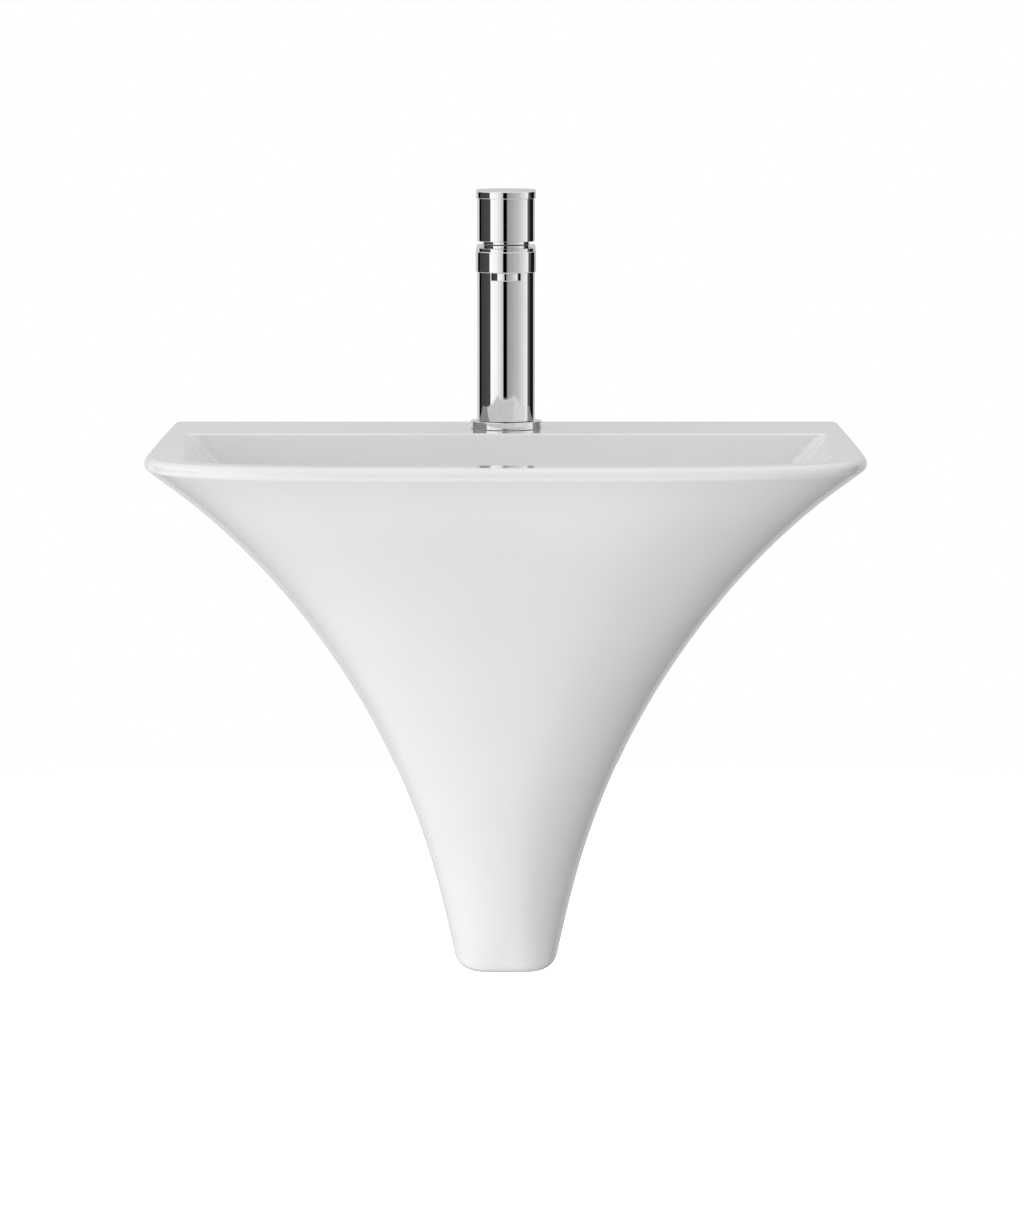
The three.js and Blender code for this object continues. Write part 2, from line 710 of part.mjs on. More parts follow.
// Under the deck a stud, a gasket, a clamp plate and a nut pull the tap down.
function addTapClamp(tap) {
  const under = -BASIN.deckThickness;
  const inPlate = TAP.flangeTop + 6;
  for (const [label, side] of [["hot", -1], ["cold", 1]]) {
    const tail = turned([
      [3.2, -46],
      [5.5, -46],
      [5.5, inPlate],
      [3.2, inPlate],
    ], 20);
    piece(tap, label + "_inlet_tail", rodAt(side * 8.5, 5, tail), "brass");
  }
  piece(tap, "clamp_stud", rodAt(0, -9, rod(4, -58, inPlate, 16)), "steel");
  const horseshoe = (outer, low, high) => {
    const plate = ring(outer, 4.3, low, high, 28);
    const slot = box(30, 42, high - low + 2, 0, -29, (low + high) / 2);
    return rodAt(0, -9, cut(plate, slot));
  };
  piece(tap, "clamp_gasket", horseshoe(22, under - 3.3, under - GAP), "rubber");
  piece(tap, "clamp_plate", horseshoe(22, under - 5.8, under - 3.6), "steel");
  piece(tap, "clamp_nut", rodAt(0, -9, nut(13, 4.3, under - 17, under - 6.1)), "brass");
}

// The spout casting: a flat block, a barrel down the column for the cartridge, and the waterway.
function addSpout(tap) {
  const { spoutBottom, spoutTop, spoutRadius, spoutReach, radius } = TAP;
  const outletDepth = spoutReach - spoutRadius;
  const block = raised(stadium(spoutRadius, spoutReach), spoutBottom, spoutTop, 16);
  const barrel = rod(radius - 2.5, 92, spoutBottom + 1, 28);
  const room = rod(17.8, 96, spoutTop + 1, 28);
  const feeds = [8.5, -8.5].map((x) => rodAt(x, 5, rod(3, 90, 98, 12)));
  const ringSeat = rod(18.8, 136, spoutTop + 1, 28);
  const waterway = box(18, outletDepth, 6, 0, -outletDepth / 2, 141.5);
  const outlet = rodAt(0, outletDepth, rod(10.6, spoutBottom - 1, 144.5, 24));
  const casting = cut(join(block, barrel), room, ringSeat, waterway, outlet, ...feeds);
  piece(tap, "tap_spout", casting, "chrome");
}

function addAerator(tap) {
  const { aeratorRadius, aeratorBottom, spoutBottom, spoutReach, spoutRadius } = TAP;
  const group = place(tap, 0, -(spoutReach - spoutRadius), 0);
  const housing = turned(
    [
      [9.4, aeratorBottom],
      [aeratorRadius - 0.4, aeratorBottom],
      [aeratorRadius, aeratorBottom + 0.4],
      [aeratorRadius, spoutBottom - GAP],
      [10.3, spoutBottom - GAP],
      [10.3, spoutBottom + 4],
      [9.4, spoutBottom + 4],
    ],
    28,
  );
  piece(group, "aerator_housing", housing, "chrome");
  const insertTop = spoutBottom + 5;
  const insert = turned(
    [
      [0, aeratorBottom + 0.8],
      [2.4, aeratorBottom + 0.8],
      [2.4, aeratorBottom + 2],
      [4.6, aeratorBottom + 2],
      [4.6, aeratorBottom + 0.8],
      [6.8, aeratorBottom + 0.8],
      [6.8, aeratorBottom + 2],
      [9, aeratorBottom + 2],
      [9, insertTop],
      [0, insertTop],
    ],
  );
  piece(group, "aerator_insert", insert, "greyPlastic");
  const seal = ring(10.3, 9.3, spoutBottom + 4.3, spoutBottom + 5.6);
  piece(group, "aerator_seal", seal, "rubber");
}

function addCartridge(tap) {
  const { neckRadius, spoutTop, handleBottom } = TAP;
  const cartridge = join(rod(17.3, 96.3, 135, 28), rod(12.5, 135, 141, 28));
  const stemHole = rod(5.6, 118, 142, 20);
  const outletSide = box(10, 12, 8, 0, -14, 128);
  piece(tap, "cartridge_body", cut(cartridge, stemHole, outletSide), "whitePlastic");
  piece(tap, "cartridge_nut", ring(18.2, 12.8, 136.2, 147, 28), "brass");
  const collar = turned(
    [
      [12.5, spoutTop + GAP],
      [neckRadius, spoutTop + GAP],
      [neckRadius, handleBottom + 3],
      [neckRadius - 3, handleBottom + 4.5],
      [12.5, handleBottom + 4.5],
    ],
    36,
  );
  piece(tap, "neck_collar", collar, "chrome");
}

// The handle turns as one with its lever plate and the cartridge's stem.
function addHandle(tap) {
  const { radius, handleBottom, handleTop, leverTop, leverRadius, leverReach, neckRadius } = TAP;
  const screwZ = handleBottom + 17;
  const shell = rod(radius, handleBottom, handleTop - GAP, 36);
  const skirtRoom = rod(neckRadius + 1, handleBottom - 1, handleBottom + 5.3, 24);
  const stemRoom = rod(5 + GAP, handleBottom, handleBottom + 26, 20);
  const spigotRoom = rod(8.3, handleTop - 6, handleTop + 1, 24);
  const screwHole = laid(rod(3.3, -(radius + 1), -3, 16), 0, screwZ);
  piece(tap, "handle_body", cut(shell, skirtRoom, stemRoom, spigotRoom, screwHole), "chrome");
  const plate = raised(stadium(leverRadius, leverReach), handleTop, leverTop, 16);
  piece(tap, "lever_plate", join(plate, rod(8, handleTop - 5.5, handleTop + 1, 24)), "chrome");
  piece(tap, "cartridge_stem", rod(5, 119, handleBottom + 25.5, 20), "brass");
  piece(tap, "grub_screw", laid(rod(3, -17, -5.6, 6), 0, screwZ), "steel");
  piece(tap, "grub_screw_cap", laid(rod(3, -(radius - 0.4), -19, 16), 0, screwZ), "greyPlastic");
}

addOverflowRing();
addWaste();
addTrap();
addWallBolt(-1, "left");
addWallBolt(1, "right");

const tap = place(sink, 0, -TAP.depth, DECK_Z);
addTapFoot(tap);
addTapClamp(tap);
addSpout(tap);
addAerator(tap);
addCartridge(tap);
addHandle(tap);

export default sink;
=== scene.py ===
"""A wall-hung washbasin with a single-lever tap: its glaze, its chrome, its plumbing and its light.

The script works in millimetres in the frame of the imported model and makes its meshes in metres.
The wall is the plane y = 0, the basin faces -Y and +Z is up. "depth" is a distance out from the
wall, so y = -depth, and "drop" is a distance below the deck, the flat top of the rim.
"""

import json
import math

import bmesh
import bpy
import numpy as np
from mathutils import Matrix, Vector


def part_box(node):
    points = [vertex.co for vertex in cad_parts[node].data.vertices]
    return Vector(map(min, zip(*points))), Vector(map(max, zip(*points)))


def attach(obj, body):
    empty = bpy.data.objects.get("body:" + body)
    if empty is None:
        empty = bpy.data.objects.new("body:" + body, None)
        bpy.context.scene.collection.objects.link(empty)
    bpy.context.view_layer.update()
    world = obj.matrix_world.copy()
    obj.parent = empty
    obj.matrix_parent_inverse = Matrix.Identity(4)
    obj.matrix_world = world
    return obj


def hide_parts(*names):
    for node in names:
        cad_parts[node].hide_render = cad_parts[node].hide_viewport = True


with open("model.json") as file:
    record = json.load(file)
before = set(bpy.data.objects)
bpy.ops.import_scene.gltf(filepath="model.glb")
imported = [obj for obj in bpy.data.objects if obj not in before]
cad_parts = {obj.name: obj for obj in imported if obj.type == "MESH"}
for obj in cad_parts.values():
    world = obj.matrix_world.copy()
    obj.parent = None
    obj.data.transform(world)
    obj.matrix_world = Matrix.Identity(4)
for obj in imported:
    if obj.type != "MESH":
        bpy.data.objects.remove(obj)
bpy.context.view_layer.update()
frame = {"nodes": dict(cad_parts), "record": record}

MM = 0.001
TURN = math.pi / 2
collection = bpy.context.scene.collection


# ---- Places from the frame ----------------------------------------------------------------------


class Span:
    """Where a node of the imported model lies, in millimetres."""

    def __init__(self, node):
        low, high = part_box(node)
        self.low, self.high = Vector(low) / MM, Vector(high) / MM
        self.middle = (self.low + self.high) / 2
        self.depth = -self.middle.y
        self.radius = (self.high.x - self.low.x) / 2


BASIN = Span("basin_body")
DECK = BASIN.high.z
WASTE = Span("waste_body")
COLUMN = Span("tap_column")
TAP_AT = (0, COLUMN.middle.y, 0)
WASTE_AT = (0, WASTE.middle.y, 0)


# ---- Materials ----------------------------------------------------------------------------------


class Graph:
    """A node tree with short ways to add to it."""

    def __init__(self, tree):
        self.tree = tree

    def add(self, kind, **inputs):
        node = self.tree.nodes.new(kind)
        for socket, value in inputs.items():
            node.inputs[socket].default_value = value
        return node

    def link(self, source, target):
        self.tree.links.new(source, target)

    def maths(self, operation, *values):
        """The result of a Math node. Each value is a number or another node's output."""
        node = self.tree.nodes.new("ShaderNodeMath")
        node.operation = operation
        for socket, value in zip(node.inputs, values):
            if isinstance(value, (int, float)):
                socket.default_value = value
            else:
                self.link(value, socket)
        return node.outputs["Value"]


NOISE_LOW, NOISE_HIGH = 0.3, 0.7  # nearly all of a noise lies between these


class Nodes(Graph):
    """A new material's node tree, with its Principled shader and object coordinates."""

    def __init__(self, name, **values):
        self.material = bpy.data.materials.new(name)
        self.material.use_nodes = True
        super().__init__(self.material.node_tree)
        self.shader = self.tree.nodes["Principled BSDF"]
        self.place = self.add("ShaderNodeTexCoord").outputs["Object"]
        for socket, value in values.items():
            self.shader.inputs[socket.replace("_", " ")].default_value = value

    def noise(self, scale, detail, stretch=None):
        noise = self.add("ShaderNodeTexNoise", Scale=scale, Detail=detail)
        place = self.place
        if stretch:
            mapping = self.add("ShaderNodeMapping", Scale=stretch)
            self.link(place, mapping.inputs["Vector"])
            place = mapping.outputs["Vector"]
        self.link(place, noise.inputs["Vector"])
        return noise.outputs["Fac"]

    def colour(self, factor, low, high):
        ramp = self.add("ShaderNodeValToRGB")
        first, last = ramp.color_ramp.elements
        first.position, last.position = NOISE_LOW, NOISE_HIGH
        first.color, last.color = (*low, 1), (*high, 1)
        self.link(factor, ramp.inputs["Fac"])
        self.link(ramp.outputs["Color"], self.shader.inputs["Base Color"])

    def roughness(self, factor, low, high):
        spread = self.add("ShaderNodeMapRange")
        ends = {"From Min": NOISE_LOW, "From Max": NOISE_HIGH, "To Min": low, "To Max": high}
        for socket, value in ends.items():
            spread.inputs[socket].default_value = value
        self.link(factor, spread.inputs["Value"])
        self.link(spread.outputs["Result"], self.shader.inputs["Roughness"])

    def bump(self, *layers):
        """Each layer is a factor and its height in metres."""
        normal = None
        for factor, height in layers:
            bump = self.add("ShaderNodeBump", Distance=height, Strength=1.0)
            self.link(factor, bump.inputs["Height"])
            if normal:
                self.link(normal, bump.inputs["Normal"])
            normal = bump.outputs["Normal"]
        self.link(normal, self.shader.inputs["Normal"])


def grey(level):
    return (level, level, level)


def glaze():
    """White glaze: a deep soft gloss, a hint of pooled colour and a long, shallow ripple."""
    made = Nodes("glazed_ceramic", Coat_Weight=0.6, Coat_Roughness=0.03, IOR=1.5)
    made.colour(made.noise(9, 3), (0.80, 0.80, 0.797), (0.825, 0.825, 0.82))
    made.roughness(made.noise(12, 2), 0.17, 0.2)
    made.bump((made.noise(7, 1), 0.00005))
    return made.material


def bisque():
    """Unglazed fireclay on the wall side and inside the shroud."""
    made = Nodes("bare_fireclay")
    made.colour(made.noise(35, 6), (0.52, 0.49, 0.45), (0.68, 0.65, 0.6))
    made.roughness(made.noise(80, 5), 0.75, 0.95)
    made.bump((made.noise(400, 6), 0.0004), (made.noise(30, 3), 0.0008))
    return made.material


def metal(name, low, high, rough, scale=120, stretch=None, height=0.0):
    made = Nodes(name, Metallic=1.0)
    made.colour(made.noise(scale / 4, 3), low, high)
    made.roughness(made.noise(scale, 4, stretch), *rough)
    if height:
        made.bump((made.noise(scale * 3, 4, stretch), height))
    return made.material


def plastic(name, low, high, rough, height):
    made = Nodes(name, IOR=1.47)
    made.colour(made.noise(20, 3), low, high)
    made.roughness(made.noise(150, 4), *rough)
    made.bump((made.noise(700, 3), height))
    return made.material


GLAZE = glaze()
BISQUE = bisque()
CHROME = metal("polished_chrome", (0.8, 0.81, 0.83), (0.84, 0.845, 0.855), (0.015, 0.04))
BRASS = metal("machined_brass", (0.62, 0.43, 0.19), (0.74, 0.55, 0.27), (0.22, 0.4), 90, (1, 1, 14), 1e-5)
STEEL = metal("zinc_plated_steel", (0.5, 0.5, 0.5), (0.62, 0.62, 0.6), (0.28, 0.5), 200, None, 1e-5)
RUBBER = plastic("black_rubber", grey(0.012), grey(0.03), (0.55, 0.8), 0.00006)
WHITE_PLASTIC = plastic("white_polypropylene", grey(0.74), grey(0.8), (0.3, 0.42), 0.00002)
GREY_PLASTIC = plastic("grey_acetal", grey(0.2), grey(0.27), (0.35, 0.5), 0.00002)

SLOT_MATERIAL = {
    "ceramic": GLAZE,
    "chrome": CHROME,
    "brass": BRASS,
    "steel": STEEL,
    "rubber": RUBBER,
    "white_plastic": WHITE_PLASTIC,
    "grey_plastic": GREY_PLASTIC,
}


# ---- Meshes -------------------------------------------------------------------------------------


def mesh_object(name, points, faces):
    """A closed mesh from points in millimetres, with its faces turned outwards."""
    mesh = bpy.data.meshes.new(name)
    mesh.from_pydata([Vector(p) * MM for p in points], [], faces)
    shape = bmesh.new()
    shape.from_mesh(mesh)
    bmesh.ops.recalc_face_normals(shape, faces=shape.faces)
    shape.to_mesh(mesh)
    shape.free()
    made = bpy.data.objects.new(name, mesh)
    collection.objects.link(made)
    return made


def loft(name, rings):
    """A solid through rings of the same number of points, with a flat face at each end."""
    count = len(rings[0])
    points = [p for ring in rings for p in ring]
    faces = [list(range(count))[::-1], [len(points) - count + i for i in range(count)]]
    for level in range(len(rings) - 1):
        base = level * count
        for i in range(count):
            j = (i + 1) % count
            faces.append([base + i, base + j, base + count + j, base + count + i])
    return mesh_object(name, points, faces)


ON_AXIS = 1e-6  # a point closer than this to the axis lies on it


def softened(outline, radius):
    """Rounds each corner of a closed outline, apart from corners on the axis."""
    steps, most = 4, 0.42  # the most is a share of an edge's length
    rounded = []
    for i, corner in enumerate(outline):
        before, after = Vector(outline[i - 1]), Vector(outline[(i + 1) % len(outline)])
        here = Vector(corner)
        if here.x < ON_AXIS:
            rounded.append(tuple(here))
            continue
        to_before, to_after = before - here, after - here
        reach = min(radius, most * to_before.length, most * to_after.length)
        start = here + to_before.normalized() * reach
        end = here + to_after.normalized() * reach
        for k in range(steps + 1):
            t = k / steps
            rounded.append(tuple(start * (1 - t) ** 2 + here * (2 * t * (1 - t)) + end * t**2))
    return rounded


def turned(name, outline, at=(0, 0, 0), along="z", edge=0.3, steps=96, flutes=(0, 0, 0)):
    """An outline of (radius, height) points turned about an axis through a point. Along "y" the
    height runs out from the wall. The flutes are grip hollows in the outside: how many, how deep,
    and the radius that they start from."""
    outline = softened(outline, edge) if edge else outline
    points, faces, rings = [], [], []
    count, deep, start = flutes
    for radius, height in outline:
        if radius < ON_AXIS:
            rings.append([len(points)] * steps)
            points.append((0, 0, height))
            continue
        rings.append([len(points) + i for i in range(steps)])
        for i in range(steps):
            angle = 2 * math.pi * i / steps
            hollow = deep * (0.5 - 0.5 * math.cos(count * angle)) ** 2 if radius > start else 0
            out = radius - hollow
            points.append((out * math.cos(angle), out * math.sin(angle), height))
    for a, b in zip(rings, rings[1:] + rings[:1]):
        if a[0] == a[1] and b[0] == b[1]:
            continue
        for i in range(steps):
            j = (i + 1) % steps
            faces.append(list(dict.fromkeys([a[i], a[j], b[j], b[i]])))
    if along == "y":
        points = [(x, -z, y) for x, y, z in points]
    centre = Vector(at)
    return mesh_object(name, [Vector(p) + centre for p in points], faces)


def rod(name, radius, low, high, at=(0, 0, 0), along="z", edge=0.3, steps=96):
    return turned(name, [(0, low), (radius, low), (radius, high), (0, high)], at, along, edge, steps)


def tube(name, outer, inner, low, high, at=(0, 0, 0), along="z", edge=0.3, steps=96):
    return turned(name, [(inner, low), (outer, low), (outer, high), (inner, high)], at, along, edge, steps)


def threaded(name, radius, low, high, pitch, at=(0, 0, 0), along="z", steps=32):
    """A rod with a helical thread of the given pitch and a short plain cone at each end."""
    depth, rows = 0.6 * pitch, math.ceil((high - low) / pitch * 4)
    rings = []
    for row in range(rows + 1):
        height = low + (high - low) * row / rows
        from_end = min(height - low, high - height)
        most = radius - max(0.0, pitch - from_end)
        ring = []
        for i in range(steps):
            turn = i / steps
            phase = (height / pitch - turn) % 1
            out = min(most, radius - depth * abs(2 * phase - 1))
            angle = 2 * math.pi * turn
            ring.append((out * math.cos(angle), out * math.sin(angle), height))
        rings.append(ring)
    if along == "y":
        rings = [[(x, -z, y) for x, y, z in ring] for ring in rings]
    return loft(name, [[Vector(p) + Vector(at) for p in ring] for ring in rings])


def nut(name, across, bore, low, high, at=(0, 0, 0), along="z"):
    """A hexagon nut with chamfered corners and a countersunk bore."""
    corner = across / math.sqrt(3)
    fall = (corner - across / 2) * 0.6
    face = across / 2 - 0.3
    outline = [(0, low), (face, low), (corner, low + fall), (corner, high - fall), (face, high), (0, high)]
    hexagon = rod(name, corner, low, high, at, along, edge=0, steps=6)
    combine(hexagon, [turned("chamfer", outline, at, along, edge=0)], "INTERSECT")
    sink = [(0, low - 1), (bore + 1.7, low - 1), (bore, low + 0.7), (bore, high - 0.7)]
    return cut(hexagon, turned("bore", [*sink, (bore + 1.7, high + 1), (0, high + 1)], at, along, edge=0))


def swept(name, path, radius, steps=40):
    """A round rod along a path of (depth, height) points in the middle plane."""
    rings = []
    for i, (depth, height) in enumerate(path):
        before, after = path[max(0, i - 1)], path[min(len(path) - 1, i + 1)]
        run, rise = after[0] - before[0], after[1] - before[1]
        length = math.hypot(run, rise)
        across = Vector((0, -rise / length, -run / length))
        centre = Vector((0, -depth, height))
        turn = [2 * math.pi * k / steps for k in range(steps)]
        rings.append([centre + radius * (Vector((math.cos(a), 0, 0)) + across * math.sin(a)) for a in turn])
    return loft(name, rings)


def raised(name, outline_at, low, high, edge):
    """A flat outline raised from one height to another with rounded edges. outline_at(inset) gives
    the outline's points, drawn in by an inset."""
    steps, rings = 5, []
    for centre, start in ((low + edge, -TURN), (high - edge, 0)):
        for i in range(steps + 1):
            angle = start + TURN * i / steps
            inset = edge * (1 - math.cos(angle))
            height = centre + edge * math.sin(angle)
            rings.append([(x, y, height) for x, y in outline_at(inset)])
    return loft(name, rings)


def box(name, low, high):
    (x0, y0, z0), (x1, y1, z1) = low, high
    ring = [(x0, y0), (x1, y0), (x1, y1), (x0, y1)]
    return loft(name, [[(x, y, z) for x, y in ring] for z in (z0, z1)])


def combine(base, others, operation="DIFFERENCE"):
    """Joins others to a solid or cuts them from it, and removes them."""
    for other in others:
        step = base.modifiers.new(operation, "BOOLEAN")
        step.operation, step.object, step.solver = operation, other, "MANIFOLD"
    depsgraph = bpy.context.evaluated_depsgraph_get()
    old = base.data
    mesh = bpy.data.meshes.new_from_object(base.evaluated_get(depsgraph))
    base.modifiers.clear()
    base.data = mesh
    for other in others:
        bpy.data.objects.remove(other)
    bpy.data.meshes.remove(old)
    return base


def cut(base, *others):
    return combine(base, others)


def join(base, *others):
    return combine(base, others, "UNION")


SLOT_OF = {entry["node"]: entry["material_slot"] for entry in frame["record"]["subparts"]}
BODY_OF = {node: body for body, nodes in frame["record"]["behaviour"]["bodies"].items() for node in nodes}
CREASE = math.radians(32)


def smooth_faces(piece):
    """Shades a mesh smoothly between its creases, with its large faces kept flat."""
    piece.data.polygons.foreach_set("use_smooth", [True] * len(piece.data.polygons))
    piece.data.set_sharp_from_angle(angle=CREASE)
    weighted = piece.modifiers.new("weighted", "WEIGHTED_NORMAL")
    weighted.keep_sharp = True
    depsgraph = bpy.context.evaluated_depsgraph_get()
    mesh = bpy.data.meshes.new_from_object(piece.evaluated_get(depsgraph))
    piece.modifiers.clear()
    old, piece.data = piece.data, mesh
    bpy.data.meshes.remove(old)


def stands_for(piece, node, materials=()):
    """Gives a finished mesh its material, smooth shading and its body, and hides the node whose place it
    takes.
    """
    slot = SLOT_OF[node]
    piece.data.materials.clear()
    for material in materials or [SLOT_MATERIAL[slot]]:
        piece.data.materials.append(material)
    smooth_faces(piece)
    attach(piece, BODY_OF[node])
    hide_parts(node)
    return piece


# ---- The basin's outline ------------------------------------------------------------------------

# These are the driving dimensions of the ceramic, in millimetres.
SIDE_SHARE = 0.63  # the flanks run out from the wall for this share of the depth
BACK_SHARE = 0.994  # width at the wall as a share of the full width
RIM_SQUARENESS, SHROUD_SQUARENESS, FOOT_SQUARENESS = 4, 2.2, 3.6
SQUARENESS_FALL, SQUARENESS_RISE = 2.6, 16
ROLL_RADIUS, ROLL_END = 6, math.radians(48)
BACK_ROUND = 1.6  # the corners at the wall
BOWL_EDGE = 2.6  # how far the rounding of the bowl's edge reaches
WALL, DECK_THICKNESS, BAND_THICKNESS, BAND_DROP = 12, 14, 14, 116
FOOT_DROP = DECK - BASIN.low.z

# The flank from the rim to the foot: half width, depth, drop.
FLANK = [
    (277.2, 458.8, 10.4),
    (256.2, 441, 28.1),
    (230, 420, 52),
    (193.6, 383, 92),
    (149.8, 330, 152),
    (113.3, 279, 215),
    (85, 232, 278),
    (63.7, 190, 341),
    (48, 153, 405),
    (42.4, 138, 431.6),
]

# The bowl from its edge to its floor: drop, half width at the back wall, half width at the sides,
# depths of the back wall, of the sides' front end and of the front wall, squareness of the front,
# radius of the back corners.
BOWL = [
    (0, 259, 248.3, 127, 313, 432, 4.5, 7),
    (24.5, 236, 225.8, 131, 301, 415, 4.3, 8),
    (58.5, 203.5, 195, 136, 283, 387, 4, 10),
    (98, 169, 161, 142, 262, 348, 3.7, 14),
    (119, 149, 142.5, 146.5, 246, 319, 3.4, 20),
    (131, 130, 124.5, 152.5, 234.5, 293, 3.2, 26),
    (137, 106, 102.5, 159, 223, 266, 3, 30),
    (139.8, 78, 76, 166, 210, 239.5, 2.8, 28),
    (141.3, 40, 40, 171, 194, 216, 2.4, 20),
]


def smooth_curve(rows, along, start_slope=None):
    """A cubic spline through the rows. Its parameter is the distance measured in the columns that
    "along" names, and start_slope gives those rows' rate of change at the first row. It returns
    the curve as a function of a share from 0 to 1."""
    table = np.array(rows, float)
    steps = np.linalg.norm(np.diff(table[:, along], axis=0), axis=1)
    knots = np.concatenate([[0], np.cumsum(steps)])
    last = len(rows) - 1
    system, target = np.zeros((last + 1, last + 1)), np.zeros_like(table)
    system[0, 0] = system[last, last] = 1
    if start_slope is not None:
        system[0, :2] = 2 * steps[0], steps[0]
        target[0] = 6 * ((table[1] - table[0]) / steps[0] - np.array(start_slope))
    for i in range(1, last):
        system[i, i - 1 : i + 2] = steps[i - 1], 2 * (steps[i - 1] + steps[i]), steps[i]
        rise = (table[i + 1] - table[i]) / steps[i] - (table[i] - table[i - 1]) / steps[i - 1]
        target[i] = 6 * rise
    bend = np.linalg.solve(system, target)

    def at(share):
        place = share * knots[-1]
        i = min(last - 1, max(0, int(np.searchsorted(knots, place)) - 1))
        a, b, width = knots[i + 1] - place, place - knots[i], steps[i]
        return (
            (bend[i] * a**3 + bend[i + 1] * b**3) / (6 * width)
            + (table[i] / width - bend[i] * width / 6) * a
            + (table[i + 1] / width - bend[i + 1] * width / 6) * b
        )

    return at


def at_drop(curve, column, drop):
    """The row of a curve at a given drop."""
    low, high = 0.0, 1.0
    for _ in range(40):
        middle = (low + high) / 2
        low, high = (middle, high) if curve(middle)[column] < drop else (low, middle)
    return curve(low)


roll_tangent = (-math.sin(ROLL_END), -math.sin(ROLL_END), math.cos(ROLL_END))
flank = smooth_curve(FLANK, [0, 2], roll_tangent)
bowl = smooth_curve(BOWL, [0, 2])


def half_front(half_width, side_depth, front_depth, squareness, steps):
    """The front of a section from its right side to its middle: a superellipse whose points keep
    an even distance."""
    power = squareness / 2
    points = []
    for i in range(steps + 1):
        t = i / steps
        angle = TURN * t**power / (t**power + (1 - t) ** power)
        across = max(0.0, math.cos(angle)) ** (1 / power)
        out = math.sin(angle) ** (1 / power)
        points.append((half_width * across, -(side_depth + (front_depth - side_depth) * out)))
    return points


def along_line(start, end, steps):
    """Points from a start to just before an end."""
    return [tuple(Vector(start).lerp(Vector(end), i / steps)) for i in range(steps)]


def around_corner(corner, radius, start_angle, steps):
    """An arc of a quarter turn, clockwise seen from above, whose corner point is given."""
    x, y = corner
    centre = (x - radius, y - radius * math.copysign(1, start_angle))
    turn = [start_angle - TURN * i / steps for i in range(steps + 1)]
    return [(centre[0] + radius * math.cos(a), centre[1] + radius * math.sin(a)) for a in turn]


def closed_ring(right_half, z):
    """A level ring from its right half, which runs from the back's middle to the front's middle."""
    left_half = [(-x, y) for x, y in right_half[-2:0:-1]]
    return [(x, y, z) for x, y in right_half + left_half]


BACK_STEPS, CORNER_STEPS, SIDE_STEPS, FRONT_STEPS = 12, 4, 22, 56


def squareness_at(drop):
    near_rim = max(0.0, 1 - drop / FOOT_DROP) ** SQUARENESS_FALL
    near_foot = max(0.0, drop / FOOT_DROP) ** SQUARENESS_RISE
    towards_rim = (RIM_SQUARENESS - SHROUD_SQUARENESS) * near_rim
    return SHROUD_SQUARENESS + towards_rim + (FOOT_SQUARENESS - SHROUD_SQUARENESS) * near_foot


def body_ring(half_width, depth, drop, back_depth=0.0):
    """One level section of the ceramic's outside, or of its hollow."""
    side = depth * SIDE_SHARE
    corner = (half_width * BACK_SHARE, -back_depth)
    arc = around_corner(corner, BACK_ROUND, TURN, CORNER_STEPS)
    front = half_front(half_width, side, depth, squareness_at(drop), FRONT_STEPS)
    bulge = half_width * (1 - BACK_SHARE)
    edge = []
    for i in range(1, SIDE_STEPS):
        t = i / SIDE_STEPS
        x = half_width - bulge * (1 - t) ** 2
        edge.append((x, arc[-1][1] + (front[0][1] - arc[-1][1]) * t))
    back = along_line((0, -back_depth), arc[0], BACK_STEPS)
    return closed_ring(back + arc + edge + front, DECK - drop)


def bowl_ring(row, margin=0.0, drop=None):
    """One level section of the bowl, grown outwards by a margin."""
    row_drop, back_half, side_half, back, side, front, squareness, corner_round = row
    corner = (back_half + margin, -(back - margin))
    arc = around_corner(corner, corner_round, TURN, CORNER_STEPS * 2)
    curve = half_front(side_half + margin, side, front + margin, squareness, FRONT_STEPS)
    edge = along_line(arc[-1], curve[0], SIDE_STEPS - CORNER_STEPS)[1:]
    line = along_line((0, -(back - margin)), arc[0], BACK_STEPS)
    return closed_ring(line + arc + edge + curve, DECK - (row_drop if drop is None else drop))


def foot_rings():
    """The rounding under the shroud, from the middle outwards. It runs on from the flank's lean."""
    steps = 10
    half_width, depth, drop = flank(1)
    before = flank(0.995)
    lean = math.atan2(before[0] - half_width, drop - before[2])
    radius = (FOOT_DROP - drop) / (1 - math.sin(lean))
    rings = []
    for i in range(steps):
        angle = TURN + (lean - TURN) * i / steps
        inset = radius * (math.cos(lean) - math.cos(angle))
        down = drop + radius * (math.sin(angle) - math.sin(lean))
        rings.append(body_ring(half_width - inset, depth - inset, down))
    return rings


def basin_outside():
    """One skin: foot, flank, rolled rim, deck, the bowl's edge and the bowl down to its floor."""
    rings = foot_rings()
    flank_steps = 84
    for i in range(flank_steps, -1, -1):
        rings.append(body_ring(*flank(i / flank_steps)))
    rim_half, rim_depth, _ = flank(0)
    roll_steps = 16
    for i in range(1, roll_steps + 1):
        angle = -ROLL_END + (TURN + ROLL_END) * i / roll_steps
        out = ROLL_RADIUS * (math.cos(angle) - math.cos(ROLL_END))
        rings.append(body_ring(rim_half + out, rim_depth + out, ROLL_RADIUS * (1 - math.sin(angle))))
    above, corner = bowl_ring(bowl(0), BOWL_EDGE, 0), bowl_ring(bowl(0))
    below = bowl_ring(at_drop(bowl, 0, BOWL_EDGE * 0.8))
    for i in range(7):
        t = i / 6
        weights = ((1 - t) ** 2, 2 * t * (1 - t), t**2)
        parts = zip(above, corner, below)
        rings.append([sum((Vector(p) * w for p, w in zip(trio, weights)), Vector()) for trio in parts])
    start = next(i for i in range(1, 1000) if bowl(i / 1000)[0] > BOWL_EDGE) / 1000
    bowl_steps = 70
    for i in range(bowl_steps + 1):
        rings.append(bowl_ring(bowl(start + (1 - start) * i / bowl_steps)))
    return loft("basin", rings)


